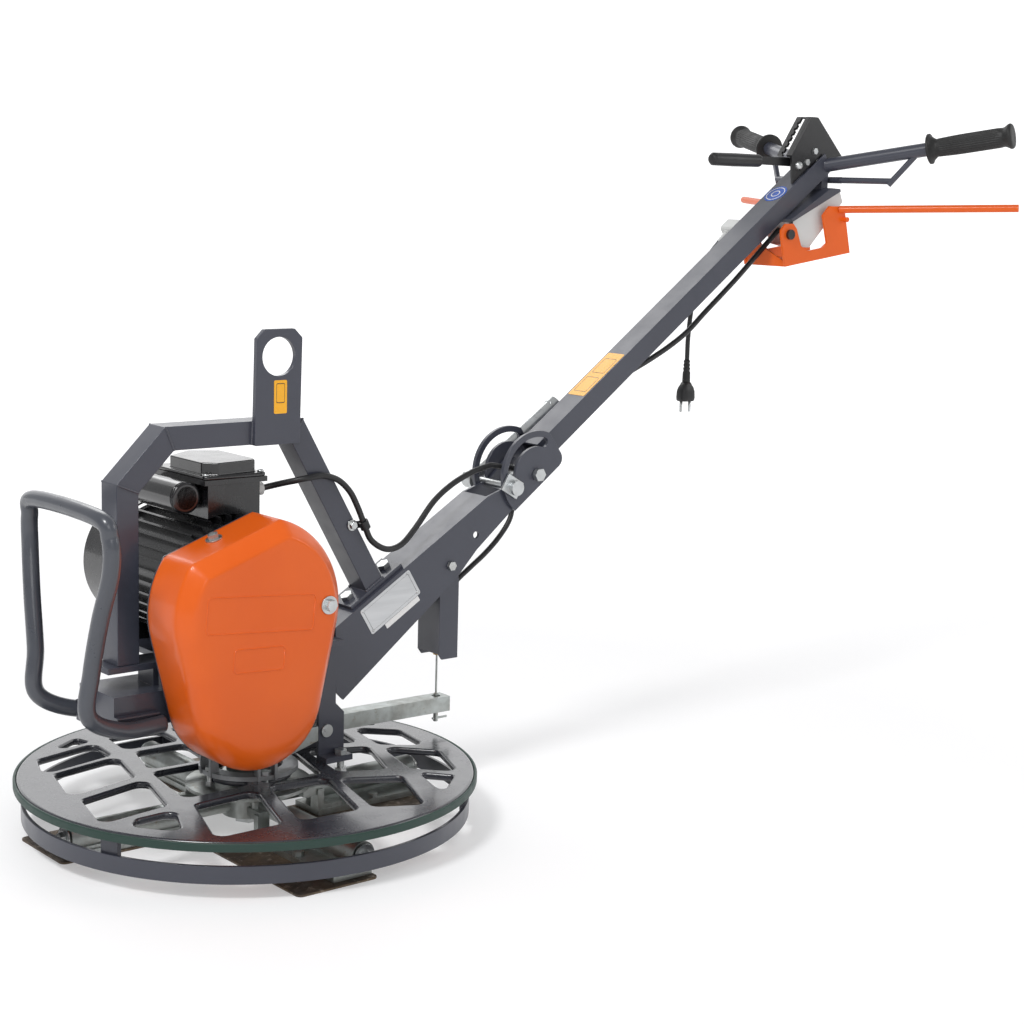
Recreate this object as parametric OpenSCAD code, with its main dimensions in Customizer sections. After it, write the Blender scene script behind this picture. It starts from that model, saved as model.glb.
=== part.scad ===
// Walk-behind power trowel with an electric motor, for finishing concrete floors.
// Millimetres. +X points to the operator, -Y is the belt side, +Z is up.
// The origin is on the floor, under the axis of the rotor.

/* [Guard] */
// Outer radius of the guard plate with its edge trim
guard_r = 310; // [300:1:320]
// Height of the underside of the guard plate above the floor
guard_z = 66; // [64:1:70]
// Thickness of the guard plate
guard_t = 10; // [8:1:12]
// Radius of the lower guard ring
ring_r = 300; // [296:1:302]
// Height of the lower guard ring's band
ring_h = 23; // [18:1:26]

/* [Rotor and blades] */
// Height of the rotor arms above the floor
arm_z = 30; // [28:1:32]
// Diameter of the rotor arms
arm_d = 22; // [20:1:24]
// Radius of the blades' outer edges
blade_end_r = 284; // [270:1:286]
// Width of a blade
blade_w = 120; // [100:1:120]
// Thickness of a blade
blade_t = 3; // [2:0.5:4]
// Diameter of the output shaft
shaft_d = 30; // [26:1:32]

/* [Drive] */
// Height of the worm shaft above the floor
worm_z = 200; // [198:1:202]
// Distance from the rotor axis to the worm shaft
worm_offset = 76; // [76:1:78]
// Height of the motor's axis
motor_z = 342; // [340:1:346]
// Radius over the motor's cooling fins
motor_r = 90; // [86:1:92]
// Thickness of the belt cover's sheet
cover_t = 2.5; // [2:0.5:3]

/* [Frame] */
// Depth of the roll frame's tube, front to back of its section
frame_w = 31; // [30:1:32]
// Width of the roll frame's tube across the machine
frame_d = 40; // [38:1:40]
// Height of the top of the roll frame
frame_top = 550; // [545:1:555]
// Radius of the hole in the lifting plate
eye_r = 25.5; // [24:0.5:27]

/* [Handle] */
// Angle of the handle above the floor
handle_angle = 36.3; // [35:0.1:37]
// Width of the handle tube
tube_w = 42; // [40:1:42]
// Height of the handle tube's section
tube_h = 32; // [30:1:33]
// Length of the handle from its pivot to its end
handle_l = 775; // [770:1:780]
// Diameter of the handlebars
bar_d = 22; // [20:1:24]
// Diameter of the dead-man bar
rod_d = 12; // [10:1:12]

/* [Hidden] */
$fn = 64;

charcoal = "#3b3b42";
soft_black = "#1d1d1f";
orange = "#e8692a";
zinc = "#b9bfc0";
worn_steel = "#6d5c4a";
green = "#1f3d33";
aluminium = "#a9abab";
brass = "#b08d4a";
light_grey = "#c9c9c6";

// Running clearance of a shaft or pin in its bore
run = 0.06;
// Clear gap between faces of different bodies
gap = 0.3;

guard_top = guard_z + guard_t;
trim_t = 4;
trim_z = guard_z - 2;
trim_h = guard_t + 1;
plate_r = guard_r - trim_t;
hub_hole_r = 46;
ring_z = 20;
ring_t = 5;

shaft_r = shaft_d / 2;
hub_r = 36;
hub_z = 14;
hub_top = 44;
arm_r = arm_d / 2;
arm_end = 272;
blade_start_r = 66;
blade_lead = 15;
dish_z = 53;
dish_t = 5;
dish_r = 85;
finger_y = 35;

box_bottom = 118;
box_top = 240;
deck_t = 8;
deck_top = box_top + deck_t;
wheel_r = 57.5;
worm_r = worm_offset - wheel_r - gap;
worm_x = -worm_offset;
worm_shaft_r = 10;

motor_x = -52;
motor_shaft_r = 9.5;
backplate_y = -60;
belt_y = -100;
belt_w = 13;
belt_t = 8;
driven_r = 57;
drive_r = 38;
groove_w = belt_w + 1;
pulley_w = 24;

cover_top_x = -66;
cover_top_z = 322;
cover_top_r = 121;
cover_low_x = -65;
cover_low_z = 210;
cover_low_r = 95;
cover_back = -63;
cover_front = -150;
cover_bevel = 20;

yoke_x = 104;
yoke_z = 118;
yoke_pin_r = 6;
cheek_in = 27;
cheek_out = 32;
trunnion_z = 98;
trunnion_r = 4;
rod_x = 318;

post_x = -191;
frame_z = frame_top - frame_w / 2;
bracket_out = 29.5;
bracket_in = 25.5;
pivot_x = 468;
pivot_z = 447;
pivot_r = 8;
disc_r = 64;
disc_in = 30;
disc_out = 36;
slot_r = 48;
slot_w = 14;
lock_r = 6;
lock_angle = 199;
tube_off = 10;
tube_wall = 3;

bail_x = 975;
bail_z = 797;
bail_out = 45;
bail_in = 41;
plunger_x = 1020;
plunger_r = 4;
lever_x = 1068;
lever_z = 912;
bar_dir = [0.389, -0.906, 0.168];
bar_origin = [1078, 0, 905];
grip_from = 190;
grip_to = 324;

// Openings in the guard plate, each a few corners that are rounded later
guard_holes = [
    [[-138, -68], [-40, -66], [-26, 50], [-118, 52]], [[-18, -78], [64, -80], [90, 26], [-10, 50]],
    [[-272, -98], [-170, -80], [-140, 30], [-248, 0]], [[-255, 20], [-146, 48], [-122, 142], [-228, 118]],
    [[-240, 126], [-124, 154], [-118, 216], [-216, 190]], [[-192, 212], [-120, 228], [-126, 254]],
    [[-184, -222], [-90, -222], [-46, -92], [-140, -98]], [[-66, -226], [18, -232], [60, -98], [-22, -88]],
    [[40, -234], [100, -264], [148, -150], [72, -112]], [[-246, -128], [-206, -180], [-172, -104], [-228, -108]],
    [[150, -238], [206, -188], [176, -152]], [[90, -84], [150, -114], [190, -12], [108, 20]],
    [[178, -128], [222, -176], [260, -84], [206, -24]], [[210, -12], [262, -50], [276, 30], [226, 80]],
    [[120, 44], [190, 14], [204, 82], [122, 112]], [[238, 98], [270, 62], [262, 106]],
    [[-114, 66], [-24, 64], [-14, 146], [-90, 148]], [[-96, 166], [-14, 162], [-8, 230], [-88, 234]],
    [[-8, 68], [98, 46], [104, 112], [0, 144]], [[4, 160], [106, 130], [110, 200], [8, 228]],
    [[124, 128], [206, 98], [194, 170], [128, 196]], [[-96, 250], [-12, 246], [-40, 276]],
    [[12, 244], [106, 216], [70, 266]], [[130, 210], [188, 188], [148, 236]]];

// Routes of the cables, and of the front handle's tube
cable_d = 8.5;
motor_cable_route = [[24, 10, 455], [36, 5, 458], [50, -8, 463], [62, -20, 467], [76, -26, 470],
    [100, -26, 471], [124, -26, 463], [143, -26, 446], [156, -26, 424], [168, -26, 398], [180, -26, 375], [206, -25, 360], [234, -22, 363],
    [262, -18, 384], [298, -12, 418], [334, -9, 440], [370, -8, 454], [396, -8, 460],
    [408, -8, 461]];
conduit_d = 8;
conduit_route = [[466, 7, 426], [463, 6, 414], [457, 4, 395], [448, 1, 374], [428, 0, 351], [403, 0, 330],
    [376, 0, 312], [350, 0, 294], [330, 0, 272], [319, 0, 248], [318, 0, 232], [318, 0, 217]];
upper_cable_route = [[484, -8, 459], [506, -8, 478], [560, -7, 524], [610, -6, 560], [650, -5, 577],
    [684, -5, 590], [722, -5, 606], [760, -5, 624], [796, -5, 645], [830, -5, 672], [864, -5, 698],
    [900, -5, 726], [936, -5, 756], [968, -5, 783], [994, -4, 804]];
lead_d = 7.5;
lead_route = [[923, 44, 793], [911, 44, 784], [899, 44, 774], [888, 44, 763], [878, 44, 750],
    [869, 44, 735], [862, 44, 718], [856, 44, 700], [852, 44, 680], [849, 44, 660], [847, 44, 640],
    [846, 44, 622], [846, 44, 606], [846, 44, 594]];
loop_d = 22;
loop_half = [[-165, 62, 178], [-224, 64, 178], [-274, 71, 205], [-272, 76, 262], [-268, 92, 330],
    [-262, 108, 388], [-262, 108, 430], [-266, 84, 454]];
gland_face = lead_route[0];
plug_x = 846;
plug_y = 44;
plug_top = 594;

function unit(v) = v / norm(v);
function mirrored(points) = [for (i = [len(points) - 1:-1:0]) [points[i][0], -points[i][1], points[i][2]]];
// A smooth curve through the route's points
function curve_at(p, i, t) = let (a = p[max(i - 1, 0)], b = p[i], c = p[i + 1], d = p[min(i + 2, len(p) - 1)])
    0.5 * (2 * b + (c - a) * t + (2 * a - 5 * b + 4 * c - d) * t * t + (3 * b - a - 3 * c + d) * t * t * t);
function smooth(p, steps) = concat([for (i = [0:len(p) - 2], k = [0:steps - 1]) curve_at(p, i, k / steps)],
    [p[len(p) - 1]]);
function heading(p, i) = unit(p[min(i + 1, len(p) - 1)] - p[max(i - 1, 0)]);
// Directions across the route, carried along it so that the tube doesn't twist
function carried(side, dir) = unit(side - dir * (side * dir));
function sides(p, i = 0, side = [0, 1, 0]) = let (s = carried(side, heading(p, i)))
    i == len(p) - 1 ? [s] : concat([s], sides(p, i + 1, s));

// A round tube swept along a route
module swept(route, d, n = 10) {
    across = sides(route);
    rings = [for (i = [0:len(route) - 1], k = [0:n - 1])
        let (u = across[i], v = cross(heading(route, i), u), a = 360 * k / n)
        route[i] + (u * cos(a) + v * sin(a)) * d / 2];
    last = (len(route) - 1) * n;
    polyhedron(rings, concat([[for (k = [0:n - 1]) k]], [[for (k = [n - 1:-1:0]) last + k]],
        [for (i = [0:len(route) - 2], k = [0:n - 1])
            [i * n + k, (i + 1) * n + k, (i + 1) * n + (k + 1) % n, i * n + (k + 1) % n]]));
}

// Points of the arc that rounds the corner c, between its neighbours a and b
function corner_arc(a, c, b, r, n = 5) = let (u = unit(a - c), v = unit(b - c), half = acos(u * v) / 2,
    mid = c + unit(u + v) * r / sin(half), p = c + u * r / tan(half) - mid, q = c + v * r / tan(half) - mid,
    from = atan2(p[1], p[0]), turn = (atan2(q[1], q[0]) - from + 540) % 360 - 180)
    [for (k = [0:n]) mid + r * [cos(from + turn * k / n), sin(from + turn * k / n)]];

// A convex outline with rounded corners
module rounded(points, r) {
    n = len(points);
    polygon([for (i = [0:n - 1], p = corner_arc(points[(i + n - 1) % n], points[i], points[(i + 1) % n], r)) p]);
}

// A flat shape drawn in X and Z, from y0 to y1 across the machine
module slab(y0, y1) {
    translate([0, y1, 0]) rotate([90, 0, 0]) linear_extrude(y1 - y0) children();
}

// A cylinder across the machine
module bar_y(x, z, r, y0, y1) {
    translate([x, y1, z]) rotate([90, 0, 0]) cylinder(h = y1 - y0, r = r);
}

module ring_y(x, z, r_in, r_out, y0, y1) {
    difference() {
        bar_y(x, z, r_out, y0, y1);
        bar_y(x, z, r_in, y0 - 1, y1 + 1);
    }
}

module ring(r_in, r_out, z0, z1) {
    translate([0, 0, z0]) difference() {
        cylinder(h = z1 - z0, r = r_out);
        translate([0, 0, -1]) cylinder(h = z1 - z0 + 2, r = r_in);
    }
}

// Turns the Z axis to a direction, at a point
module toward(p, d) {
    translate(p) rotate([0, acos(d[2] / norm(d)), atan2(d[1], d[0])]) children();
}

// A round rod between two points
module rod(a, b, d) {
    toward(a, b - a) cylinder(h = norm(b - a), d = d);
}

// The handle's own frame: X along the handle from its pivot, Z square to it
module on_handle() {
    translate([pivot_x, 0, pivot_z]) rotate([0, -handle_angle, 0]) children();
}

function on_handle_point(s, n, y = 0) = [pivot_x + s * cos(handle_angle) - n * sin(handle_angle), y,
    pivot_z + s * sin(handle_angle) + n * cos(handle_angle)];

// A hex bolt along -Z from its head's seat, with its head above the seat
module hex_bolt(d, length) {
    cylinder(h = 0.65 * d, d = 1.85 * d, $fn = 6);
    translate([0, 0, -length]) cylinder(h = length + 0.1, d = d);
}

module guard_plate() {
    color(charcoal) difference() {
        union() {
            difference() {
                translate([0, 0, guard_z]) cylinder(h = guard_t, r = plate_r, $fn = 180);
                for (hole = guard_holes)
                    translate([0, 0, guard_z - 1]) linear_extrude(guard_t + 2) rounded(hole, len(hole) == 3 ? 6 : 12);
            }
            ring(hub_hole_r, hub_hole_r + 14, guard_z, guard_top);
        }
        translate([0, 0, guard_z - 1]) cylinder(h = guard_t + 2, r = hub_hole_r);
        for (p = guard_bolt_places) translate([p[0], p[1], guard_z - 1]) cylinder(h = guard_t + 2, r = 5);
        for (a = foot_turns) rotate(a) translate([60, 0, guard_z - 1]) cylinder(h = guard_t + 2, r = 4);
    }
}

guard_bolt_places = [[122, 42], [122, -42]];
foot_turns = [100, 180, 260];

module guard_trim() {
    color(green) ring(plate_r, guard_r, trim_z, trim_z + trim_h, $fn = 180);
}

module guard_ring() {
    color(charcoal) {
        ring(ring_r - ring_t, ring_r, ring_z, ring_z + ring_h, $fn = 180);
        for (a = [-157, -39, 81]) intersection() {
            rotate(a) translate([ring_r - ring_t - 8, -13, ring_z + 4])
                cube([20, 26, guard_z - ring_z - 4]);
            cylinder(h = 200, r = ring_r - ring_t, $fn = 180);
        }
    }
}

module base_frame() {
    color(charcoal) {
        // Deck under the motor, narrow under the front post
        translate([-130, -52, box_top]) cube([248, 172, deck_t]);
        translate([-222, -24, box_top]) cube([94, 48, deck_t]);
        // Cheeks at the back, with the yoke's pin through them
        for (y = [-cheek_out, cheek_in]) difference() {
            slab(y, y + cheek_out - cheek_in) polygon([[92, guard_top + 8], [134, guard_top + 8],
                [134, 140], [120, 154], [120, box_top], [92, box_top]]);
            bar_y(yoke_x, yoke_z, yoke_pin_r, y - 1, y + 7);
        }
        translate([114, -cheek_in, 146]) cube([6, 2 * cheek_in, box_top - 146]);
        for (side = [-1, 1]) difference() {
            translate([92, side * 39 - 12, guard_top]) cube([44, 24, 8]);
            for (p = guard_bolt_places) translate([p[0], p[1], guard_top - 1]) cylinder(h = 10, r = 5);
        }
        // Box at the front that carries the loop handle
        difference() {
            translate([-226, -46, 172]) cube([104, 92, 44]);
            translate([-222, -42, 168]) cube([96, 84, 44]);
        }
        translate([-156, -20, 216]) cube([8, 40, box_top - 216]);
        // Lugs that the loop handle is welded to
        for (side = [-1, 1]) translate([-226, side * 51 - 5, 165]) cube([60, 10, 26]);
    }
}

module frame_bolts() {
    color(zinc) {
        for (p = guard_bolt_places) {
            translate([p[0], p[1], guard_top + 8]) hex_bolt(10, guard_t + 8);
            translate([p[0], p[1], guard_z - 7]) cylinder(h = 7, d = 18, $fn = 6);
        }
        // Roll frame's foot on the handle bracket
        for (k = [-1, 1]) foot_place(k * 36) hex_bolt(10, 12);
        // Belt cover's bolt and latch screw
        translate([26, cover_front, 325]) rotate([90, 0, 0]) {
            cylinder(h = 2, d = 24);
            translate([0, 0, 2]) cylinder(h = 7, d = 16, $fn = 6);
        }
        latch_place() {
            cylinder(h = 2, d = 22);
            translate([0, 0, 2]) cylinder(h = 6, d = 15, $fn = 6);
        }
        bar_y(26, 325, 4, cover_front, backplate_y);
        // Pin that the yoke turns on
        bar_y(yoke_x, yoke_z, yoke_pin_r, -cheek_out - 1, cheek_out + 1);
        bar_y(yoke_x, yoke_z, 9, -cheek_out - 4, -cheek_out);
        // Bolts of the gearbox's feet
        for (a = foot_turns) rotate(a) {
            translate([60, 0, guard_top + 6]) hex_bolt(8, guard_t + 6);
            translate([60, 0, guard_z - 5]) cylinder(h = 5, d = 13, $fn = 6);
        }
    }
}

latch_mid = [-107, 413.5];
latch_angle = 19.5;

module latch_place() {
    translate([latch_mid[0], -88, latch_mid[1]]) rotate([0, -latch_angle, 0]) children();
}

foot_x = 194;
bracket_slope = 31.4;

function bracket_top(x) = 260 + (x - 120) * tan(bracket_slope);

// A place on the foot plate, measured along the bracket's slope
module foot_place(along) {
    translate([foot_x, 0, bracket_top(foot_x)]) rotate([0, -bracket_slope, 0]) translate([along, 0, 6])
        children();
}

module roll_frame() {
    w = frame_w;
    left = post_x - w / 2;
    color(charcoal) difference() {
        union() {
            difference() {
                // One tube, bent at three corners
                slab(-frame_d / 2, frame_d / 2) polygon([[left, deck_top], [left, frame_top - 69],
                    [left + 69, frame_top], [70, frame_top], [225, 283], [198, 267], [52.2, frame_top - w],
                    [left + 82, frame_top - w], [left + w, frame_top - 82], [left + w, deck_top]]);
                slab(-frame_d / 2 - 1, frame_d / 2 + 1)
                    polygon([[120, bracket_top(120)], [300, bracket_top(300)], [300, 200], [120, 200]]);
            }
            foot_place(0) translate([-50, -24, -6]) cube([100, 48, 6]);
        }
        for (k = [-1, 1]) foot_place(k * 36) translate([0, 0, -7]) cylinder(h = 8, r = 5);
    }
}

module lifting_plate() {
    color(charcoal) difference() {
        slab(-frame_d / 2 - 8, -frame_d / 2)
            rounded([[-10, 518], [60, 518], [63, 658], [51, 670], [5, 670], [-7, 658]], 3);
        bar_y(27, 634, eye_r, -frame_d / 2 - 9, -frame_d / 2 + 1);
    }
}

module front_handle() {
    color(charcoal) swept(smooth(concat(loop_half, mirrored(loop_half)), 4), loop_d, 12);
}

module gearbox_body() {
    color(aluminium) difference() {
        union() {
            translate([0, 0, 150]) cylinder(h = box_top - 150, r = 72);
            translate([0, 0, box_bottom]) cylinder(h = 33, r = 34);
            // Three feet on a ring, bolted to the guard plate
            translate([0, 0, guard_top]) cylinder(h = 6, r = 67);
            intersection() {
                translate([0, 0, guard_top]) cylinder(h = 90, r = 69);
                for (a = foot_turns) rotate(a) {
                    translate([55, -14, guard_top]) cube([20, 4, 84]);
                    translate([55, 10, guard_top]) cube([20, 4, 84]);
                    translate([52, -14, guard_top + 40]) cube([5, 28, 44]);
                }
            }
            bar_y(worm_x, worm_z, 36, backplate_y, 60);
            translate([worm_x - 36, -40, worm_z]) cube([60, 80, box_top - worm_z]);
        }
        translate([0, 0, 158]) cylinder(h = 74, r = 58.3);
        // Flat side that the belt's backplate bolts to
        translate([-100, -100 + backplate_y, 100]) cube([200, 100, 200]);
        translate([0, 0, guard_top - 1]) cylinder(h = 20, r = 46);
        for (a = foot_turns) rotate(a) translate([60, 0, guard_top - 1]) cylinder(h = 10, r = 4);
        translate([0, 0, box_bottom - 1]) cylinder(h = 60, r = 26);
        bar_y(worm_x, worm_z, 24, backplate_y - 1, 56);
        translate([0, 0, 200]) cylinder(h = 60, r = 26);
    }
}

module gearbox_bearings() {
    color(zinc) {
        ring(shaft_r + run, 26, 120, 136);
        ring(shaft_r + run, 26, 214 + 10, 238);
        ring_y(worm_x, worm_z, worm_shaft_r + run, 24, -58, -44);
        ring_y(worm_x, worm_z, worm_shaft_r + run, 24, 40, 54);
    }
}

module worm_wheel() {
    teeth = 30;
    color(brass) difference() {
        translate([0, 0, worm_z - 14]) cylinder(h = 28, r = wheel_r, $fn = 120);
        translate([0, 0, worm_z - 15]) cylinder(h = 30, r = shaft_r);
        for (k = [0:teeth - 1]) rotate(360 * k / teeth)
            translate([wheel_r - 5, -2.5, worm_z - 15]) cube([8, 5, 30]);
    }
}

module output_shaft() {
    color(zinc) translate([0, 0, 14]) cylinder(h = 220, r = shaft_r);
}

module rotor_hub() {
    color(zinc) difference() {
        translate([0, 0, hub_z]) cylinder(h = hub_top - hub_z, r = hub_r);
        translate([0, 0, hub_z - 1]) cylinder(h = 40, r = shaft_r);
        for (a = [0:90:270]) rotate(a) translate([shaft_r + 3, 0, arm_z]) rotate([0, 90, 0])
            cylinder(h = 40, r = arm_r);
    }
}

module rotor_arms() {
    color(zinc) for (a = [0:90:270]) rotate(a) translate([shaft_r + 3, 0, arm_z]) rotate([0, 90, 0])
        cylinder(h = arm_end - shaft_r - 3, r = arm_r);
}

module rotor_fasteners() {
    color(zinc) {
        for (a = [0:90:270]) rotate(a) translate([arm_end, 0, arm_z]) rotate([0, 90, 0]) {
            cylinder(h = 2.5, r = 15);
            translate([0, 0, 2.5]) cylinder(h = 7, d = 17, $fn = 6);
        }
        // Nut and washer under the hub
        translate([0, 0, 10]) cylinder(h = 4, r = 22);
        translate([0, 0, 3]) cylinder(h = 10, d = 40, $fn = 6);
        // Pins that drive the pressure plate
        for (a = [45, 225]) rotate(a) translate([27, 0, hub_top]) cylinder(h = 20, r = 3.5);
    }
}

// Everything of one blade lies along +X, then turns to its place
module blade_shape() {
    translate([0, 0, 0]) linear_extrude(blade_t) rounded([[blade_start_r, blade_lead - blade_w],
        [blade_end_r, blade_lead - blade_w], [blade_end_r, blade_lead], [blade_start_r, blade_lead]], 8);
}

module holder_shape() {
    difference() {
        union() {
            translate([100, 0, arm_z]) rotate([0, 90, 0]) cylinder(h = 170, r = arm_r + 6);
            translate([100, -9, blade_t + 8]) cube([170, 18, 16]);
            translate([84, -46, blade_t]) cube([188, 58, 8]);
            // Finger that the pressure plate pushes
            translate([84, -finger_y - 9, blade_t]) cube([10, 18, 40 - blade_t]);
            translate([62, -finger_y - 6, 32]) cube([32, 12, 12]);
            translate([94, -finger_y - 9, blade_t]) cube([30, 18, 14]);
        }
        translate([80, 0, arm_z]) rotate([0, 90, 0]) cylinder(h = 200, r = arm_r + run);
    }
    // Set screw under the pressure plate
    translate([72, -finger_y, 30]) cylinder(h = dish_z - gap - 30, r = 5);
    // Screws that hold the blade
    for (x = [110, 180, 250], y = [-38]) translate([x, y, blade_t + 8]) cylinder(h = 6, d = 15, $fn = 6);
}

module blade(k) {
    color(worn_steel) rotate(-90 * k) blade_shape();
}

module blade_holder(k) {
    color(zinc) rotate(-90 * k) holder_shape();
}

module blade_1() { blade(0); }
module blade_2() { blade(1); }
module blade_3() { blade(2); }
module blade_4() { blade(3); }
module blade_holder_1() { blade_holder(0); }
module blade_holder_2() { blade_holder(1); }
module blade_holder_3() { blade_holder(2); }
module blade_holder_4() { blade_holder(3); }

module pressure_plate() {
    color(zinc) difference() {
        union() {
            translate([0, 0, dish_z]) cylinder(h = dish_t, r = dish_r);
            translate([0, 0, dish_z]) cylinder(h = 13, r = 32);
        }
        translate([0, 0, dish_z - 1]) cylinder(h = 20, r = shaft_r + run);
        for (a = [45, 225]) rotate(a) translate([27, 0, dish_z - 1]) cylinder(h = 20, r = 3.5 + run);
    }
}

module thrust_bearing() {
    color(zinc) {
        ring(17, 22, dish_z + 13, dish_z + 16);
        for (k = [0:9]) rotate(36 * k) translate([19.5, 0, dish_z + 18.4]) sphere(2.5, $fn = 24);
    }
}

module thrust_collar() {
    color(zinc) {
        ring(17, 30, dish_z + 21.3, trunnion_z + 6);
        for (side = [-1, 1]) bar_y(0, trunnion_z, trunnion_r, side > 0 ? 28 : -42, side > 0 ? 42 : -28);
    }
}

module pitch_yoke() {
    color(zinc) difference() {
        union() {
            bar_y(yoke_x, yoke_z, 12, -26.5, 26.5);
            for (y = [-40, 34]) slab(y, y + 6)
                polygon([[-10, 88], [16, 88], [86, 108], [86, 128], [76, 128], [16, 108], [-10, 108]]);
            translate([76, -40, 108]) cube([10, 80, 20]);
            slab(-20, 20) polygon([[80, 108], [104, 108], [104, 128], [80, 128]]);
            // Channel that the rod pulls up
            slab(-13, 13) polygon([[yoke_x, 108], [334, 106], [334, 128], [yoke_x, 130]]);
        }
        bar_y(yoke_x, yoke_z, yoke_pin_r + run, -50, 50);
        slab(-10, 10) polygon([[yoke_x + 14, 104], [336, 102], [336, 125], [yoke_x + 14, 127]]);
        // Open slots for the collar's pins
        slab(-60, 60) polygon([[-11, trunnion_z - 4.3], [8, trunnion_z - 4.3], [8, trunnion_z + 4.3],
            [-11, trunnion_z + 4.3]]);
        translate([rod_x, 0, 100]) cylinder(h = 40, r = 6.5);
    }
}

module pull_rod() {
    color(zinc) {
        translate([rod_x, 0, 128]) cylinder(h = 63, r = 1.5);
        translate([rod_x, 0, 90]) cylinder(h = 42, r = 3.5);
        // Washer under the yoke's top wall, and the clip below it
        translate([rod_x, 0, 121]) cylinder(h = 2.4, r = 7);
        translate([rod_x - 6, -1.2, 93]) cube([26, 2.4, 3]);
    }
}

module lower_cables() {
    color(soft_black) {
        swept(smooth(motor_cable_route, 3), cable_d, 10);
        swept(smooth(conduit_route, 3), conduit_d, 10);
    }
}

module cable_guide() {
    color(charcoal) difference() {
        union() {
            for (y = [-bracket_in, bracket_in - 3]) slab(y, y + 3) polygon([[302, 196], [308, 188], [336, 188], [336, 300],
                [330, 342], [302, 342]]);
            translate([302, -bracket_in, 196]) cube([3, 2 * bracket_in, 110]);
            translate([302, -bracket_in, 200]) cube([34, 2 * bracket_in, 4]);
        }
        translate([rod_x, 0, 190]) cylinder(h = 30, r = 5.4);
        bar_y(316, 326, 4, -40, 40);
    }
}

module cable_fittings() {
    color(brass) difference() {
        union() {
            translate([rod_x, 0, 190]) cylinder(h = 34, r = 5.4);
            translate([rod_x, 0, 204]) cylinder(h = 6, d = 16, $fn = 6);
        }
        translate([rod_x, 0, 180]) cylinder(h = 60, r = 2);
        translate([rod_x, 0, 217]) cylinder(h = 20, r = 4.5);
    }
    // Gland on the terminal box
    color(light_grey) translate([-2, 10, 455]) rotate([0, 90, 0]) {
        cylinder(h = 10, d = 22, $fn = 6);
        cylinder(h = 26, d = 18);
    }
    // Clip that holds the cable on the frame
    color(soft_black) {
        translate([168, -26, 398]) rotate([0, -26, 0]) ring(5.4, 7, -6, 6);
        translate([146, -21, 393]) cube([24, 1, 10]);
    }
}

module worm_shaft() {
    color(zinc) difference() {
        union() {
            bar_y(worm_x, worm_z, worm_shaft_r, -118, 54);
            bar_y(worm_x, worm_z, worm_r, -34, 34);
        }
        for (k = [-4:4]) ring_y(worm_x, worm_z, worm_r - 5, worm_r + 1, k * 7 - 1.8, k * 7 + 1.8);
    }
}

module pulley(x, z, r, bore) {
    difference() {
        bar_y(x, z, r, belt_y - pulley_w / 2, belt_y + pulley_w / 2);
        ring_y(x, z, r - 9, r + 1, belt_y - groove_w / 2, belt_y + groove_w / 2);
        bar_y(x, z, bore, -130, -70);
        for (k = [0:4]) translate([x, -80, z]) rotate([0, 72 * k, 0]) translate([0, 0, (r - 9 + bore) / 2])
            rotate([90, 0, 0]) cylinder(h = 40, r = (r - 9 - bore) / 4);
    }
}

module driven_pulley() {
    color(aluminium) pulley(worm_x, worm_z, driven_r, worm_shaft_r);
}

module drive_pulley() {
    color(aluminium) pulley(motor_x, motor_z, drive_r, motor_shaft_r);
}

module motor_shaft() {
    color(zinc) {
        bar_y(motor_x, motor_z, motor_shaft_r, -118, 182);
        bar_y(motor_x, motor_z, 45, -8, 98);
    }
}

module motor_fan() {
    color(soft_black) {
        ring_y(motor_x, motor_z, motor_shaft_r, 26, 150, 176);
        for (k = [0:7]) translate([motor_x, 0, motor_z]) rotate([0, 45 * k, 0])
            translate([-2, 150, 24]) cube([4, 24, 48]);
    }
}

module motor_housing() {
    fins = 36;
    color(soft_black) {
        ring_y(motor_x, motor_z, 68, 80, -45, 130);
        intersection() {
            for (k = [0:fins - 1]) translate([motor_x, 0, motor_z]) rotate([0, 360 * k / fins, 0])
                translate([-1.5, -38, 79]) cube([3, 162, 14]);
            bar_y(motor_x, motor_z, motor_r, -50, 140);
        }
        // Feet on the deck
        for (y = [-30, 100]) difference() {
            translate([motor_x - 62, y, deck_top]) cube([124, 18, 60]);
            bar_y(motor_x, motor_z, 79, y - 1, y + 19);
        }
    }
}

module motor_stator() {
    slots = 18;
    color(zinc) difference() {
        ring_y(motor_x, motor_z, 46, 68, 0, 90);
        for (k = [0:slots - 1]) translate([motor_x, 0, motor_z]) rotate([0, 360 * k / slots, 0])
            translate([-2.5, -1, 40]) cube([5, 92, 18]);
    }
}

module motor_end_shields() {
    color(soft_black) {
        difference() {
            union() {
                bar_y(motor_x, motor_z, 80, -55, -45);
                bar_y(motor_x, motor_z, 34, backplate_y, -50);
            }
            bar_y(motor_x, motor_z, motor_shaft_r + run, -80, -40);
        }
        ring_y(motor_x, motor_z, motor_shaft_r + run, 84, 130, 140);
    }
}

module fan_cowl() {
    color(soft_black) difference() {
        bar_y(motor_x, motor_z, motor_r, 140, 196);
        bar_y(motor_x, motor_z, motor_r - 2.5, 139, 193.5);
        // Ring slots of the air inlet
        for (r = [24, 38, 52, 66]) difference() {
            ring_y(motor_x, motor_z, r, r + 8, 190, 200);
            for (a = [0, 60, 120]) translate([motor_x, 190, motor_z]) rotate([0, a, 0])
                translate([-90, -1, -4]) cube([180, 12, 8]);
        }
    }
}

module terminal_box() {
    color(soft_black) {
        difference() {
            translate([-80, -28, 416]) cube([78, 123, 56]);
            bar_y(motor_x, motor_z, motor_r, -60, 140);
            translate([-76, -24, 440]) cube([70, 115, 40]);
        }
        translate([-88, -34, 472]) cube([94, 135, 7]);
        // Saddle of the capacitor
        difference() {
            translate([-98, 10, 436]) cube([18, 50, 34]);
            bar_y(-106, 456, 21, 0, 80);
        }
    }
}

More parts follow.
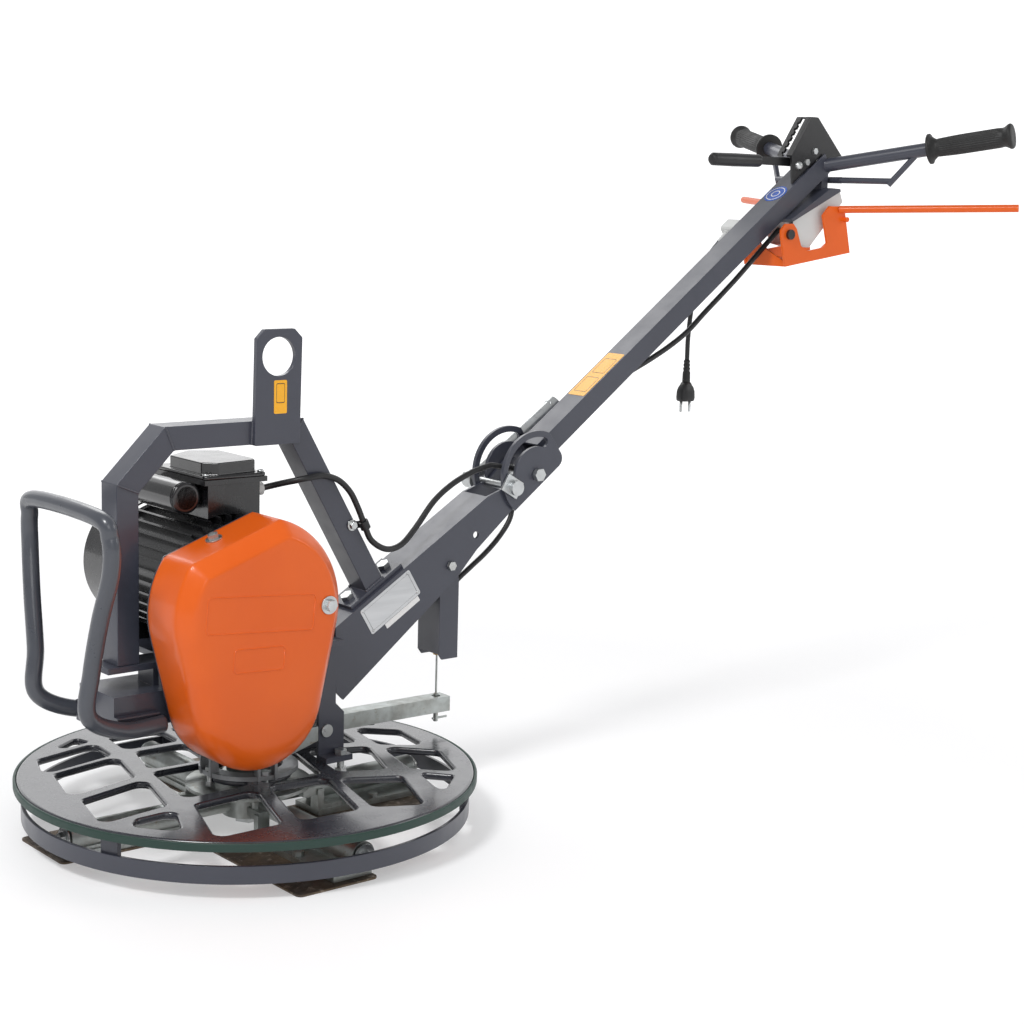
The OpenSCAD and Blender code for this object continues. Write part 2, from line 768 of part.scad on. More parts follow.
module terminal_lid() {
    color(soft_black) {
        translate([0, 0, 479]) linear_extrude(5) rounded([[-88, -34], [6, -34], [6, 101], [-88, 101]], 8);
        translate([0, 0, 484]) linear_extrude(16) polygon([[-82, -14], [-66, -30], [-6, -22], [0, -8],
            [0, 76], [-38, 96], [-82, 66]]);
    }
}

module capacitor() {
    color(soft_black) {
        bar_y(-106, 456, 21, -14, 88);
        bar_y(-106, 456, 17, -18, -14);
    }
}

module belt_outline(grow) {
    belt_loop([motor_x, motor_z], drive_r + grow, [worm_x, worm_z], driven_r + grow);
}

// The outline round two circles, with its straight sides tangent to both
module belt_loop(a, ra, b, rb) {
    d = b - a;
    lean = acos((ra - rb) / norm(d));
    base = atan2(d[1], d[0]);
    dirs = [for (k = [-1, 1]) [cos(base + k * lean), sin(base + k * lean)]];
    translate(a) circle(ra);
    translate(b) circle(rb);
    polygon([a + dirs[0] * ra, b + dirs[0] * rb, b + dirs[1] * rb, a + dirs[1] * ra]);
}

module drive_belt() {
    color(soft_black) slab(belt_y - belt_w / 2, belt_y + belt_w / 2) difference() {
        belt_outline(-0.6);
        belt_outline(-0.6 - belt_t);
    }
}

module cover_outline(inset) {
    difference() {
        belt_loop([cover_top_x, cover_top_z], cover_top_r - inset, [cover_low_x, cover_low_z],
            cover_low_r - inset);
        translate(latch_mid) rotate(latch_angle) translate([-120, -inset]) square([240, 60]);
    }
}

module belt_backplate() {
    color(charcoal) difference() {
        slab(cover_back, backplate_y) cover_outline(0);
        bar_y(motor_x, motor_z, 14, -70, -50);
        bar_y(worm_x, worm_z, 14, -70, -50);
        bar_y(26, 325, 4, -70, -50);
    }
}

module cover_solid(inset, front) {
    hull() {
        slab(front + cover_bevel, cover_back + 5) cover_outline(inset, $fn = 96);
        slab(front, front + 1) cover_outline(cover_bevel * 0.9 + inset, $fn = 96);
    }
}

module belt_cover() {
    color(orange) difference() {
        union() {
            cover_solid(0, cover_front);
            // Blank raised panels pressed in the front
            slab(cover_front - 0.7, cover_front) {
                translate([-75, 325]) rotate(-4.5) rounded([[-79, -23], [79, -23], [79, 23], [-79, 23]], 5);
                translate([-78, 267]) rotate(-3) rounded([[-37, -15], [37, -15], [37, 15], [-37, 15]], 5);
            }
        }
        cover_solid(cover_t, cover_front + cover_t);
        translate([-300, cover_back, 0]) cube([600, 60, 600]);
        bar_y(26, 325, 4, -170, -60);
    }
}

module handle_bracket() {
    wall = [[120, 260], [382, bracket_top(382)], [430, 436], [460, 463], [480, 463], [486, 440], [468, 429],
        [364, 344], [327, 305], [134, 156], [122, 168]];
    color(charcoal) difference() {
        union() {
            slab(-bracket_out, -bracket_in) polygon(wall);
            slab(bracket_in, bracket_out) polygon(wall);
            slab(-bracket_in, bracket_in)
                polygon([[120, 260], [382, bracket_top(382)], [384.1, bracket_top(382) - 3.4], [122.1, 256.6]]);
            slab(-bracket_in, bracket_in) polygon([[120, 172], [124, 168], [124, 258], [120, 258]]);
        }
        bar_y(pivot_x, pivot_z, pivot_r + run, -40, 40);
        lock_bore(lock_r);
        bar_y(362, 366, 5, -40, 40);
        bar_y(316, 326, 4, -40, 40);
        for (k = [-1, 1]) foot_place(k * 36) translate([0, 0, -20]) cylinder(h = 40, r = 5);
    }
}

lock_x = pivot_x + slot_r * cos(lock_angle);
lock_z = pivot_z + slot_r * sin(lock_angle);

module lock_bore(r) {
    bar_y(lock_x, lock_z, r, -40, 40);
}

module handle_bolts() {
    color(zinc) {
        // Two short pivot bolts leave the middle free for the cables
        for (side = [-1, 1]) {
            bar_y(pivot_x, pivot_z, pivot_r, side > 0 ? 22 : -disc_out - 1.5, side > 0 ? disc_out + 1.5 : -22);
            translate([pivot_x, side * (disc_out + 1.5), pivot_z]) rotate([-90 * side, 0, 0])
                cylinder(h = 8, d = 20, $fn = 6);
        }
        // Clamp bolt through the curved slots, with its square plate
        bar_y(lock_x, lock_z, lock_r, -disc_out - 8, 71);
        translate([lock_x, -disc_out - 1, lock_z]) rotate([90, 30, 0]) {
            linear_extrude(4) difference() {
                translate([-20, -13]) square([32, 26]);
                circle(lock_r);
            }
            translate([0, 0, 4]) cylinder(h = 8, d = 22);
        }
        // Bolt of the cable guide
        bar_y(316, 326, 4, -bracket_out - 1, bracket_out + 1);
        for (side = [-1, 1]) translate([316, side * (bracket_out + 1), 326]) rotate([-90 * side, 0, 0])
            cylinder(h = 6, d = 14, $fn = 6);
    }
}

lever_slope = 34;

module lock_lever() {
    hub_y = 47;
    color(zinc) {
        difference() {
            bar_y(lock_x, lock_z, 14, hub_y, hub_y + 20);
            bar_y(lock_x, lock_z, lock_r + run, hub_y - 1, hub_y + 40);
            translate([lock_x, 0, lock_z]) rotate([0, -lever_slope, 0]) translate([12, hub_y + 10, 0])
                rotate([0, 90, 0]) cylinder(h = 20, r = 11);
        }
        translate([lock_x, 0, lock_z]) rotate([0, -lever_slope, 0]) translate([12, hub_y + 10, 0])
            rotate([0, 90, 0]) cylinder(h = 166, r = 11);
    }
    color(soft_black) translate([lock_x, 0, lock_z]) rotate([0, -lever_slope, 0])
        translate([178, hub_y + 10, 0]) rotate([0, 90, 0]) cylinder(h = 12, r = 12);
}

module handle_tube() {
    color(charcoal) {
        on_handle() {
            difference() {
                translate([34, -tube_w / 2, tube_off - tube_h / 2]) cube([handle_l - 34, tube_w, tube_h]);
                translate([30, -tube_w / 2 + tube_wall, tube_off - tube_h / 2 + tube_wall])
                    cube([handle_l - 34, tube_w - 2 * tube_wall, tube_h - 2 * tube_wall]);
                // Open top at the end, for the pitch lever
                translate([735, -tube_w / 2 + tube_wall, 5]) cube([60, tube_w - 2 * tube_wall, 40]);
                // Slot where the cable leaves the tube
                translate([200, -14, tube_off - tube_h]) cube([60, 18, tube_h]);
            }
            // Slotted discs, welded to the tube over two spacers
            for (y = [-disc_out, disc_in]) difference() {
                slab(y, y + disc_out - disc_in) difference() {
                    intersection() {
                        circle(disc_r, $fn = 120);
                        rounded([[-80, -18], [54, -18], [54, 82], [-80, 82]], 14);
                    }
                    slot_2d(lock_angle - handle_angle - 1.1, 38);
                }
                bar_y(0, 0, pivot_r + run, y - 1, y + 8);
            }
            for (y = [-disc_in, tube_w / 2]) translate([36, y, 3]) cube([17, disc_in - tube_w / 2, 15]);
        }
        // Shelf for the switch box under the tube
        slab(-36, 36) polygon([[990, 816], [1104, 867], [1102, 871], [1080, 872], [988, 821]]);
        slab(-18, 18) polygon([[1076, 861], [1091, 867], [1091, 898], [1076, 887]]);
    }
}

// The curved slot: a ring between two angles, with round ends
module slot_2d(from, to) {
    steps = 6;
    intersection() {
        difference() {
            circle(slot_r + slot_w / 2, $fn = 120);
            circle(slot_r - slot_w / 2, $fn = 120);
        }
        polygon(concat([[0, 0]], [for (k = [0:steps]) let (a = to + (from - to) * k / steps)
            90 * [cos(a), sin(a)]]));
    }
    for (a = [from, to]) translate(slot_r * [cos(a), sin(a)]) circle(slot_w / 2);
}

function bar_at(t, side) = [bar_origin[0] + t * bar_dir[0], side * t * bar_dir[1], bar_origin[2] + t * bar_dir[2]];

module handlebar() {
    color(charcoal) {
        difference() {
            for (side = [-1, 1]) rod(bar_at(10, side), bar_at(grip_to - 6, side), bar_d);
            on_handle() translate([-10, -tube_w / 2, tube_off - tube_h / 2])
                cube([handle_l + 50, tube_w, tube_h + 20]);
        }
        // Bent guard rod under the bars
        for (side = [-1, 1]) {
            rod([1100, side * 34, 885], [1124, side * 125, 885], 10);
            rod([1121, side * 119, 879], [1146, side * 158, 933], 9.4);
        }
        bar_y(1100, 885, 5.4, -38, 38);
    }
}

module grips() {
    color(soft_black) for (side = [-1, 1])
        toward(bar_at(grip_from, side), bar_at(grip_to, side) - bar_at(grip_from, side))
            rotate_extrude() polygon([[bar_d / 2, 0], [24, 0], [24, 4], [17, 9], [14, 14], [14, 26], [15.5, 30],
                [16, 70], [15.5, 112], [15, 120], [18, 126], [20, 130], [19, 134], [0, 134], [0, 128],
                [bar_d / 2, 128]]);
}

module pitch_quadrant() {
    color(soft_black) {
        slab(-16, -12) difference() {
            polygon([[1008, 877], [1003, 922], [1046, 984], [1062, 984], [1128, 920], [1098, 903],
                [1060, 898], [1046, 905]]);
            translate([lever_x, lever_z]) circle(6);
        }
        difference() {
            slab(-12, 16) polygon([[1003, 922], [1006.5, 919.5], [1049.3, 981.5], [1062, 981.5], [1062, 984.5],
                [1046, 984.5]]);
            // Slot for the lever, with its row of notches
            translate([980, -3.5, 900]) cube([78, 9, 110]);
            for (k = [0:5]) translate([1006 + 6.6 * k, 6, 926 + 9.5 * k]) rotate([0, 35, 0])
                translate([-8, -1.5, -2]) cube([16, 4, 4]);
        }
    }
    // Domed nut and screws, and the pin of the lever
    color(zinc) {
        translate([1020, -16, 906]) sphere(7, $fn = 32);
        for (p = [[1038, 912], [1056, 930]]) translate([p[0], -16, p[1]]) rotate([90, 0, 0])
            cylinder(h = 4, d = 11, $fn = 6);
        bar_y(lever_x, lever_z, 6, -20, 12);
    }
}

module pitch_lever() {
    color(soft_black) {
        difference() {
            bar_y(lever_x, lever_z, 13, -11.5, 8);
            bar_y(lever_x, lever_z, 6 + run, -20, 20);
        }
        difference() {
            slab(-2, 4) rounded([[940, 906], [1068, 904], [1068, 920], [940, 918]], 2);
            bar_y(lever_x, lever_z, 12, -20, 20);
        }
        translate([946, 1, 911.5]) rotate([0, -90, 0]) rotate_extrude()
            polygon([[0, 0], [9, 0], [10, 3], [10.5, 60], [10, 104], [7, 108], [0, 109]]);
    }
}

module bail_side() {
    polygon([[969, 746], [1123, 768], [1106, 834], [1098, 843], [1068, 843], [1053, 828], [1066, 784],
        [1054, 776], [1019, 771], [1004, 779], [992, 806], [984, 814], [966, 814], [956, 804], [956, 796]]);
}

module deadman_bail() {
    color(orange) {
        for (y = [-bail_out, bail_in]) difference() {
            slab(y, y + 4) bail_side();
            bar_y(bail_x, bail_z, 5 + run, y - 1, y + 5);
        }
        slab(-bail_in, bail_in) polygon([[969, 746], [1032, 755], [1032, 759], [969, 750]]);
        // Front web, lower on the belt side where the cable passes
        translate([969, 0, 0]) rotate([90, 0, 90]) linear_extrude(4)
            polygon([[-bail_in, 748], [bail_in, 748], [bail_in, 782], [20, 782], [-bail_in, 754]]);
        for (side = [-1, 1]) {
            rod([1093, side * 44, 838], [1225, side * 297, 848], rod_d);
            bar_y(1103, 822, 4, side > 0 ? 44 : -54, side > 0 ? 54 : -44);
        }
    }
}

module switch_box() {
    color(light_grey) difference() {
        union() {
            slab(-33, 33) polygon([[991, 816.4], [1104.2, 867], [1112, 850], [1036, 776], [1016, 780]]);
            bar_y(bail_x + 18, 812, 1, -2, 2);
        }
        translate([plunger_x, 0, 760]) cylinder(h = 40, r = plunger_r + run);
        slab(-29, 29) polygon([[1010, 816], [1092, 854], [1098, 848], [1040, 792], [1030, 806]]);
    }
    // Entry block and gland of the mains lead, on the side of the handle tube
    color(light_grey) difference() {
        union() {
            on_handle() slab(tube_w / 2, tube_w / 2 + 33) rounded([[574, -3], [600, -3], [600, 22], [574, 22]], 5);
            rod(gland_face, gland_face + 8 * heading(lead_route, 0) * -1, 15);
        }
        on_handle() slab(tube_w / 2 + 4, tube_w / 2 + 29)
            rounded([[578, 1], [596, 1], [596, 18], [578, 18]], 3);
    }
    // Pivot pins of the dead-man bail, and its ears under the tube
    color(zinc) for (side = [-1, 1]) {
        bar_y(bail_x, bail_z, 5, side > 0 ? 35 : -50, side > 0 ? 50 : -35);
        bar_y(bail_x, bail_z, 8, side > 0 ? 45.4 : -50, side > 0 ? 50 : -45.4);
    }
    color(soft_black) for (y = [-36, 33]) slab(y, y + 3)
        polygon([[966, 788], [984, 788], [992, 812], [992, 817], [970, 807.5], [964, 800]]);
}

module switch_plunger() {
    color(soft_black) translate([plunger_x, 0, 758.4]) cylinder(h = 30, r = plunger_r);
}

module upper_cables() {
    color(soft_black) {
        swept(smooth(upper_cable_route, 3), cable_d, 10);
        // Pitch cable inside the handle tube
        rod(on_handle_point(40, 18, 12), on_handle_point(740, 18, 12), conduit_d);
    }
}

module mains_lead() {
    color(soft_black) swept(smooth(lead_route, 2), lead_d, 10);
}

module mains_plug() {
    color(soft_black) {
        translate([plug_x, plug_y, plug_top - 40]) cylinder(h = 40, r = 6.5);
        translate([plug_x - 15, plug_y - 11, plug_top - 66]) cube([30, 22, 26]);
    }
    color(zinc) for (side = [-1, 1])
        translate([plug_x + side * 9.5, plug_y, plug_top - 84]) cylinder(h = 18, r = 2.4);
}

guard_plate();
guard_trim();
guard_ring();
base_frame();
frame_bolts();
roll_frame();
lifting_plate();
front_handle();
gearbox_body();
gearbox_bearings();
worm_wheel();
output_shaft();
rotor_hub();
rotor_arms();
rotor_fasteners();
blade_1();
blade_2();
blade_3();
blade_4();
blade_holder_1();
blade_holder_2();
blade_holder_3();
blade_holder_4();
pressure_plate();
thrust_bearing();
thrust_collar();
pitch_yoke();
pull_rod();
lower_cables();
cable_guide();
cable_fittings();
worm_shaft();
driven_pulley();
motor_shaft();
drive_pulley();
motor_fan();
motor_housing();
motor_stator();
motor_end_shields();
fan_cowl();
terminal_box();
terminal_lid();
capacitor();
drive_belt();
belt_backplate();
belt_cover();
handle_bracket();
handle_bolts();
lock_lever();
handle_tube();
handlebar();
grips();
pitch_quadrant();
pitch_lever();
deadman_bail();
switch_box();
switch_plunger();
upper_cables();
mains_lead();
mains_plug();
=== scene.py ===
import math

import bmesh
import bpy
from mathutils import Matrix, Vector


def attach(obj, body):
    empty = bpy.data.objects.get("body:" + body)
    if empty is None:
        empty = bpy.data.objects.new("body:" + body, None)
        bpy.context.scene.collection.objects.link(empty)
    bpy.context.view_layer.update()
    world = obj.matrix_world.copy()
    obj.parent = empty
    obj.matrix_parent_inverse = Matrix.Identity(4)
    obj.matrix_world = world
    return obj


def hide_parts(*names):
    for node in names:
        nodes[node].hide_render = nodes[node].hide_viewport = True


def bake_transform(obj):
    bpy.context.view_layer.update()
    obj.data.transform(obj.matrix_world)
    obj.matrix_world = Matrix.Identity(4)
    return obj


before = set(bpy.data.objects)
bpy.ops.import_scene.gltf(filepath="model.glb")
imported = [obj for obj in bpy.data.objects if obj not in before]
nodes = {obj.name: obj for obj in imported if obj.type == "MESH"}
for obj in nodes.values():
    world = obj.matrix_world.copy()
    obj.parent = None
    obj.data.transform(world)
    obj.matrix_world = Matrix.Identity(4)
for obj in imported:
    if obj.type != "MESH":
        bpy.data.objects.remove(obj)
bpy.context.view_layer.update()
scene = bpy.context.scene
MM = 0.001


def mm(*p):
    """A point given in millimetres."""
    return Vector(p) * MM


def leaning(angle):
    """The directions along and square to a part that leans by that angle, seen from the side."""
    return Vector((math.cos(angle), 0, math.sin(angle))), Vector((-math.sin(angle), 0, math.cos(angle)))


HANDLE_LEAN = math.radians(36.3)
BRACKET_LEAN = math.radians(31.4)
PIVOT = mm(468, 0, 447)
TUBE_TOP = 26.05
BRACKET_FACE = -29.55


# ---------------------------------------------------------------- camera, light and floor

CAMERA_PLACE = (-1.35582, -2.16908, 0.86175)
CAMERA_TURN_TIP_ROLL = (-39.82, 9.54, 1.55)
CAMERA_LENS = 68.203125


def make_camera():
    """The camera at the photograph's viewing angle."""
    yaw, pitch, roll = (math.radians(a) for a in CAMERA_TURN_TIP_ROLL)
    ahead = Vector((-math.sin(yaw) * math.cos(pitch), math.cos(yaw) * math.cos(pitch), -math.sin(pitch)))
    right = Vector((math.cos(yaw), math.sin(yaw), 0))
    up = right.cross(ahead)
    right, up = right * math.cos(roll) + up * math.sin(roll), up * math.cos(roll) - right * math.sin(roll)
    data = bpy.data.cameras.new("camera")
    data.sensor_width = 36
    data.lens = CAMERA_LENS
    data.clip_start = 0.05
    camera = bpy.data.objects.new("camera", data)
    turn = Matrix((right, up, -ahead)).transposed().to_4x4()
    camera.matrix_world = Matrix.Translation(CAMERA_PLACE) @ turn
    scene.collection.objects.link(camera)
    scene.camera = camera


def area_light(name, place, target, size, power, tint=(1, 1, 1)):
    data = bpy.data.lights.new(name, "AREA")
    data.shape = "DISK"
    data.size = size
    data.energy = power
    data.color = tint
    light = bpy.data.objects.new(name, data)
    light.location = place
    light.rotation_euler = (Vector(target) - Vector(place)).to_track_quat("-Z", "Y").to_euler()
    scene.collection.objects.link(light)


def make_stage():
    world = bpy.data.worlds.new("studio")
    world.use_nodes = True
    world.node_tree.nodes["Background"].inputs[0].default_value = (0.98, 0.985, 1.0, 1)
    # Seen directly the background is white, but it lights the object less
    seen = world.node_tree.nodes.new("ShaderNodeLightPath")
    power = world.node_tree.nodes.new("ShaderNodeMapRange")
    power.inputs["To Min"].default_value = 0.48
    world.node_tree.links.new(seen.outputs["Is Camera Ray"], power.inputs["Value"])
    world.node_tree.links.new(power.outputs[0], world.node_tree.nodes["Background"].inputs[1])
    scene.world = world
    scene.view_settings.view_transform = "Standard"
    area_light("key", (-1.9, -0.7, 3.1), (0.3, 0, 0.25), 0.9, 62)
    area_light("front", (-1.2, -3.0, 2.0), (0.2, 0, 0.3), 1.8, 17)
    area_light("right", (2.8, -1.8, 1.8), (0.6, 0, 0.5), 1.4, 14)
    area_light("back", (0.9, 2.4, 2.4), (0.3, 0, 0.3), 1.6, 15)
    mesh = bpy.data.meshes.new("floor")
    # A flat floor that curves up far behind the object
    start, bend, steps = 6, 3, 9
    angles = [k * math.pi / 2 / steps for k in range(1, steps + 1)]
    rows = [(-9, 0), (start / 2, 0), (start, 0)]
    rows += [(start + bend * math.sin(a), bend - bend * math.cos(a)) for a in angles]
    rows.append((start + bend, 9))
    ahead = Vector((0.64, 0.768, 0)).normalized()
    side = Vector((0.768, -0.64, 0)).normalized()
    points = [ahead * y + side * x + Vector((0, 0, z)) for y, z in rows for x in (-11, 11)]
    mesh.from_pydata(points, [], [(2 * i, 2 * i + 1, 2 * i + 3, 2 * i + 2) for i in range(len(rows) - 1)])
    for face in mesh.polygons:
        face.use_smooth = True
    floor = bpy.data.objects.new("floor", mesh)
    scene.collection.objects.link(floor)
    mat, shader = new_material("floor_paper")
    shader.inputs["Base Color"].default_value = (0.64, 0.64, 0.645, 1)
    shader.inputs["Roughness"].default_value = 0.8
    shader.inputs["Specular IOR Level"].default_value = 0.15
    # Painted light: the floor glows, dimmer near the object and brighter further away, so the far floor and
    # backdrop read white while the shade near the object stays visible
    shader.inputs["Emission Color"].default_value = (1, 1, 1, 1)
    far = add(mat, "ShaderNodeVectorMath", operation="LENGTH")
    link(mat, add(mat, "ShaderNodeTexCoord").outputs["Object"], far.inputs[0])
    link(mat, ramp(mat, far.outputs["Value"], 1.2, 5, 0.34, 0.8), shader.inputs["Emission Strength"])
    floor.data.materials.append(mat)


# ---------------------------------------------------------------- materials

def new_material(name):
    mat = bpy.data.materials.new(name)
    mat.use_nodes = True
    return mat, mat.node_tree.nodes["Principled BSDF"]


def add(mat, kind, **values):
    node = mat.node_tree.nodes.new(kind)
    for key, value in values.items():
        if key.startswith("in_"):
            node.inputs[key[3:].replace("_", " ")].default_value = value
        else:
            setattr(node, key, value)
    return node


def link(mat, a, b):
    mat.node_tree.links.new(a, b)


def noise(mat, scale, detail=3, stretch=None, roughness=0.55):
    where = add(mat, "ShaderNodeTexCoord").outputs["Object"]
    if stretch:
        turn = add(mat, "ShaderNodeMapping", in_Scale=stretch)
        link(mat, where, turn.inputs[0])
        where = turn.outputs[0]
    out = add(mat, "ShaderNodeTexNoise", in_Scale=scale, in_Detail=detail, in_Roughness=roughness)
    link(mat, where, out.inputs["Vector"])
    return out.outputs["Fac"]


def ramp(mat, fac, low, high, a, b):
    out = add(mat, "ShaderNodeMapRange", in_From_Min=low, in_From_Max=high, in_To_Min=a, in_To_Max=b)
    link(mat, fac, out.inputs["Value"])
    return out.outputs[0]


def mix(mat, fac, a, b):
    out = add(mat, "ShaderNodeMix", data_type="RGBA")
    link(mat, fac, out.inputs[0])
    for socket, value in ((out.inputs[6], a), (out.inputs[7], b)):
        if isinstance(value, tuple):
            socket.default_value = (*value, 1)
        else:
            link(mat, value, socket)
    return out.outputs[2]


def bump(mat, shader, height, strength, depth, under=None):
    out = add(mat, "ShaderNodeBump", in_Strength=strength, in_Distance=depth)
    link(mat, height, out.inputs["Height"])
    if under:
        link(mat, under, out.inputs["Normal"])
    link(mat, out.outputs[0], shader.inputs["Normal"])
    return out.outputs[0]


def finish_material(name, colour, second, metallic=0.0, rough=(0.3, 0.45), coat=0.0, blotch=9,
                    grain=(900, 0.12, 0.0002), stretch=None, wear=None, spec=0.5):
    """A base colour that drifts to a second one, uneven roughness, fine grain, and worn spots on top."""
    mat, shader = new_material(name)
    shader.inputs["Metallic"].default_value = metallic
    shader.inputs["Coat Weight"].default_value = coat
    shader.inputs["Coat Roughness"].default_value = 0.12
    shader.inputs["Specular IOR Level"].default_value = spec
    drift = ramp(mat, noise(mat, blotch, 5, stretch), 0.32, 0.68, 0, 1)
    paint = mix(mat, drift, colour, second)
    polish = ramp(mat, noise(mat, blotch * 4, 6, stretch), 0.3, 0.7, rough[0], rough[1])
    if wear:
        spots = ramp(mat, noise(mat, wear[0], 9, None, 0.7), wear[1], wear[1] + 0.06, 0, 1)
        paint = mix(mat, spots, paint, wear[2])
    link(mat, paint, shader.inputs["Base Color"])
    link(mat, polish, shader.inputs["Roughness"])
    scale, strength, depth = grain
    bump(mat, shader, noise(mat, scale, 2, stretch), strength, depth)
    return mat


def make_materials():
    m = {}
    slate, slate_2 = (0.040, 0.043, 0.060), (0.047, 0.051, 0.070)
    m["paint"] = finish_material("slate_paint", slate, slate_2, rough=(0.3, 0.42), coat=0.25,
                                 grain=(650, 0.14, 0.0003))
    m["loop"] = finish_material("loop_paint", (0.050, 0.055, 0.068), (0.060, 0.065, 0.079),
                                rough=(0.25, 0.38), coat=0.4, grain=(700, 0.1, 0.0002))
    m["plate"] = finish_material("plate_paint", (0.021, 0.023, 0.031), (0.026, 0.028, 0.037),
                                 rough=(0.2, 0.32), coat=0.6, grain=(420, 0.16, 0.0003))
    m["green"] = finish_material("green_edging", (0.010, 0.036, 0.027), (0.014, 0.045, 0.034),
                                 rough=(0.42, 0.58), grain=(1500, 0.2, 0.0002))
    m["orange"] = finish_material("orange_coat", (0.70, 0.102, 0.004), (0.74, 0.115, 0.006),
                                  rough=(0.28, 0.4), coat=0.22, spec=0.3, grain=(1100, 0.14, 0.0002))
    m["orange_smooth"] = finish_material("orange_paint", (0.70, 0.102, 0.005), (0.75, 0.116, 0.008),
                                         rough=(0.3, 0.4), coat=0.15, spec=0.3, grain=(700, 0.1, 0.0002))
    m["zinc"] = finish_material("zinc_plate", (0.60, 0.62, 0.63), (0.50, 0.51, 0.50), metallic=1.0,
                                rough=(0.24, 0.44), blotch=30, grain=(1400, 0.12, 0.0002))
    m["zinc_dull"] = finish_material("zinc_dull", (0.46, 0.49, 0.48), (0.33, 0.34, 0.32), metallic=1.0,
                                     rough=(0.32, 0.55), blotch=34, grain=(900, 0.25, 0.0004),
                                     wear=(48, 0.60, (0.30, 0.27, 0.22)))
    m["steel"] = finish_material("turned_steel", (0.52, 0.52, 0.53), (0.42, 0.42, 0.42), metallic=1.0,
                                 rough=(0.2, 0.34), blotch=40, grain=(1200, 0.1, 0.0002))
    m["blade"] = finish_material("worn_blade", (0.16, 0.115, 0.075), (0.075, 0.06, 0.05), metallic=0.75,
                                 rough=(0.36, 0.62), blotch=26, grain=(500, 0.35, 0.0005),
                                 wear=(70, 0.56, (0.30, 0.25, 0.20)))
    m["casting"] = finish_material("cast_aluminium", (0.40, 0.41, 0.42), (0.32, 0.33, 0.34), metallic=0.9,
                                   rough=(0.42, 0.58), blotch=22, grain=(800, 0.5, 0.0005))
    m["bronze"] = finish_material("bronze", (0.55, 0.34, 0.12), (0.45, 0.28, 0.10), metallic=1.0,
                                  rough=(0.24, 0.4), blotch=30)
    m["motor"] = finish_material("motor_black", (0.005, 0.005, 0.006), (0.009, 0.009, 0.010),
                                 rough=(0.2, 0.36), coat=0.5, grain=(380, 0.3, 0.0006))
    m["lid"] = finish_material("lid_black", (0.006, 0.006, 0.007), (0.010, 0.010, 0.011),
                               rough=(0.12, 0.24), coat=0.5, grain=(500, 0.1, 0.0002))
    m["plastic"] = finish_material("black_plastic", (0.008, 0.008, 0.009), (0.013, 0.013, 0.014),
                                   rough=(0.34, 0.5), grain=(1600, 0.3, 0.0003))
    m["rubber"] = finish_material("black_rubber", (0.007, 0.007, 0.007), (0.012, 0.012, 0.012),
                                  rough=(0.46, 0.64), grain=(1300, 0.25, 0.0003))
    m["cable"] = finish_material("cable_jacket", (0.008, 0.008, 0.009), (0.014, 0.014, 0.015),
                                 rough=(0.36, 0.5), grain=(1500, 0.15, 0.0002))
    m["grey"] = finish_material("grey_housing", (0.56, 0.57, 0.56), (0.62, 0.62, 0.61),
                                rough=(0.36, 0.48), grain=(1500, 0.25, 0.0003))
    m["laminated"] = finish_material("laminated", (0.25, 0.25, 0.26), (0.18, 0.18, 0.19), metallic=0.9,
                                     rough=(0.4, 0.55), blotch=60)
    m["quadrant"] = finish_material("quadrant_black", (0.006, 0.006, 0.007), (0.010, 0.010, 0.011),
                                    rough=(0.3, 0.44), coat=0.2, grain=(700, 0.2, 0.0003))
    m["yellow"] = finish_material("yellow_label", (0.88, 0.42, 0.012), (0.84, 0.40, 0.012), rough=(0.2, 0.3),
                                  grain=(2000, 0.04, 0.0001))
    m["label_black"] = finish_material("label_black", (0.014, 0.014, 0.014), (0.02, 0.02, 0.02),
                                       rough=(0.25, 0.36), grain=(2000, 0.04, 0.0001))
    m["blue"] = finish_material("blue_sticker", (0.010, 0.07, 0.36), (0.012, 0.08, 0.40), rough=(0.18, 0.28),
                                grain=(2000, 0.04, 0.0001))
    m["white"] = finish_material("white_sticker", (0.80, 0.80, 0.79), (0.74, 0.74, 0.73), rough=(0.2, 0.3),
                                 grain=(2000, 0.04, 0.0001))
    m["silver"] = finish_material("silver_plate", (0.60, 0.61, 0.62), (0.52, 0.53, 0.54), metallic=0.8,
                                  rough=(0.28, 0.4), stretch=(1, 1, 12), grain=(1200, 0.1, 0.0001))
    m["weld"] = finish_material("weld_paint", (0.045, 0.048, 0.062), (0.06, 0.062, 0.08), rough=(0.3, 0.45),
                                coat=0.3, grain=(500, 0.4, 0.0005))
    return m


MATERIAL_OF = {
    "paint": "guard_ring base_frame roll_frame lifting_plate handle_bracket cable_guide handle_tube "
             "handlebar belt_backplate",
    "plate": "guard_plate",
    "green": "guard_trim",
    "zinc": "frame_bolts handle_bolts lock_lever rotor_fasteners thrust_bearing",
    "zinc_dull": "rotor_hub rotor_arms pressure_plate thrust_collar pitch_yoke pull_rod "
                 "blade_holder_1 blade_holder_2 blade_holder_3 blade_holder_4",
    "steel": "output_shaft worm_shaft gearbox_bearings motor_shaft",
    "blade": "blade_1 blade_2 blade_3 blade_4",
    "casting": "gearbox_body driven_pulley drive_pulley",
    "bronze": "worm_wheel cable_fittings",
    "motor": "motor_housing motor_end_shields fan_cowl terminal_box",
    "lid": "terminal_lid capacitor",
    "laminated": "motor_stator",
    "plastic": "motor_fan pitch_lever switch_plunger mains_plug",
    "orange": "belt_cover",
    "orange_smooth": "deadman_bail",
    "grey": "switch_box",
    "rubber": "grips drive_belt",
    "cable": "lower_cables upper_cables mains_lead",
    "quadrant": "pitch_quadrant",
}
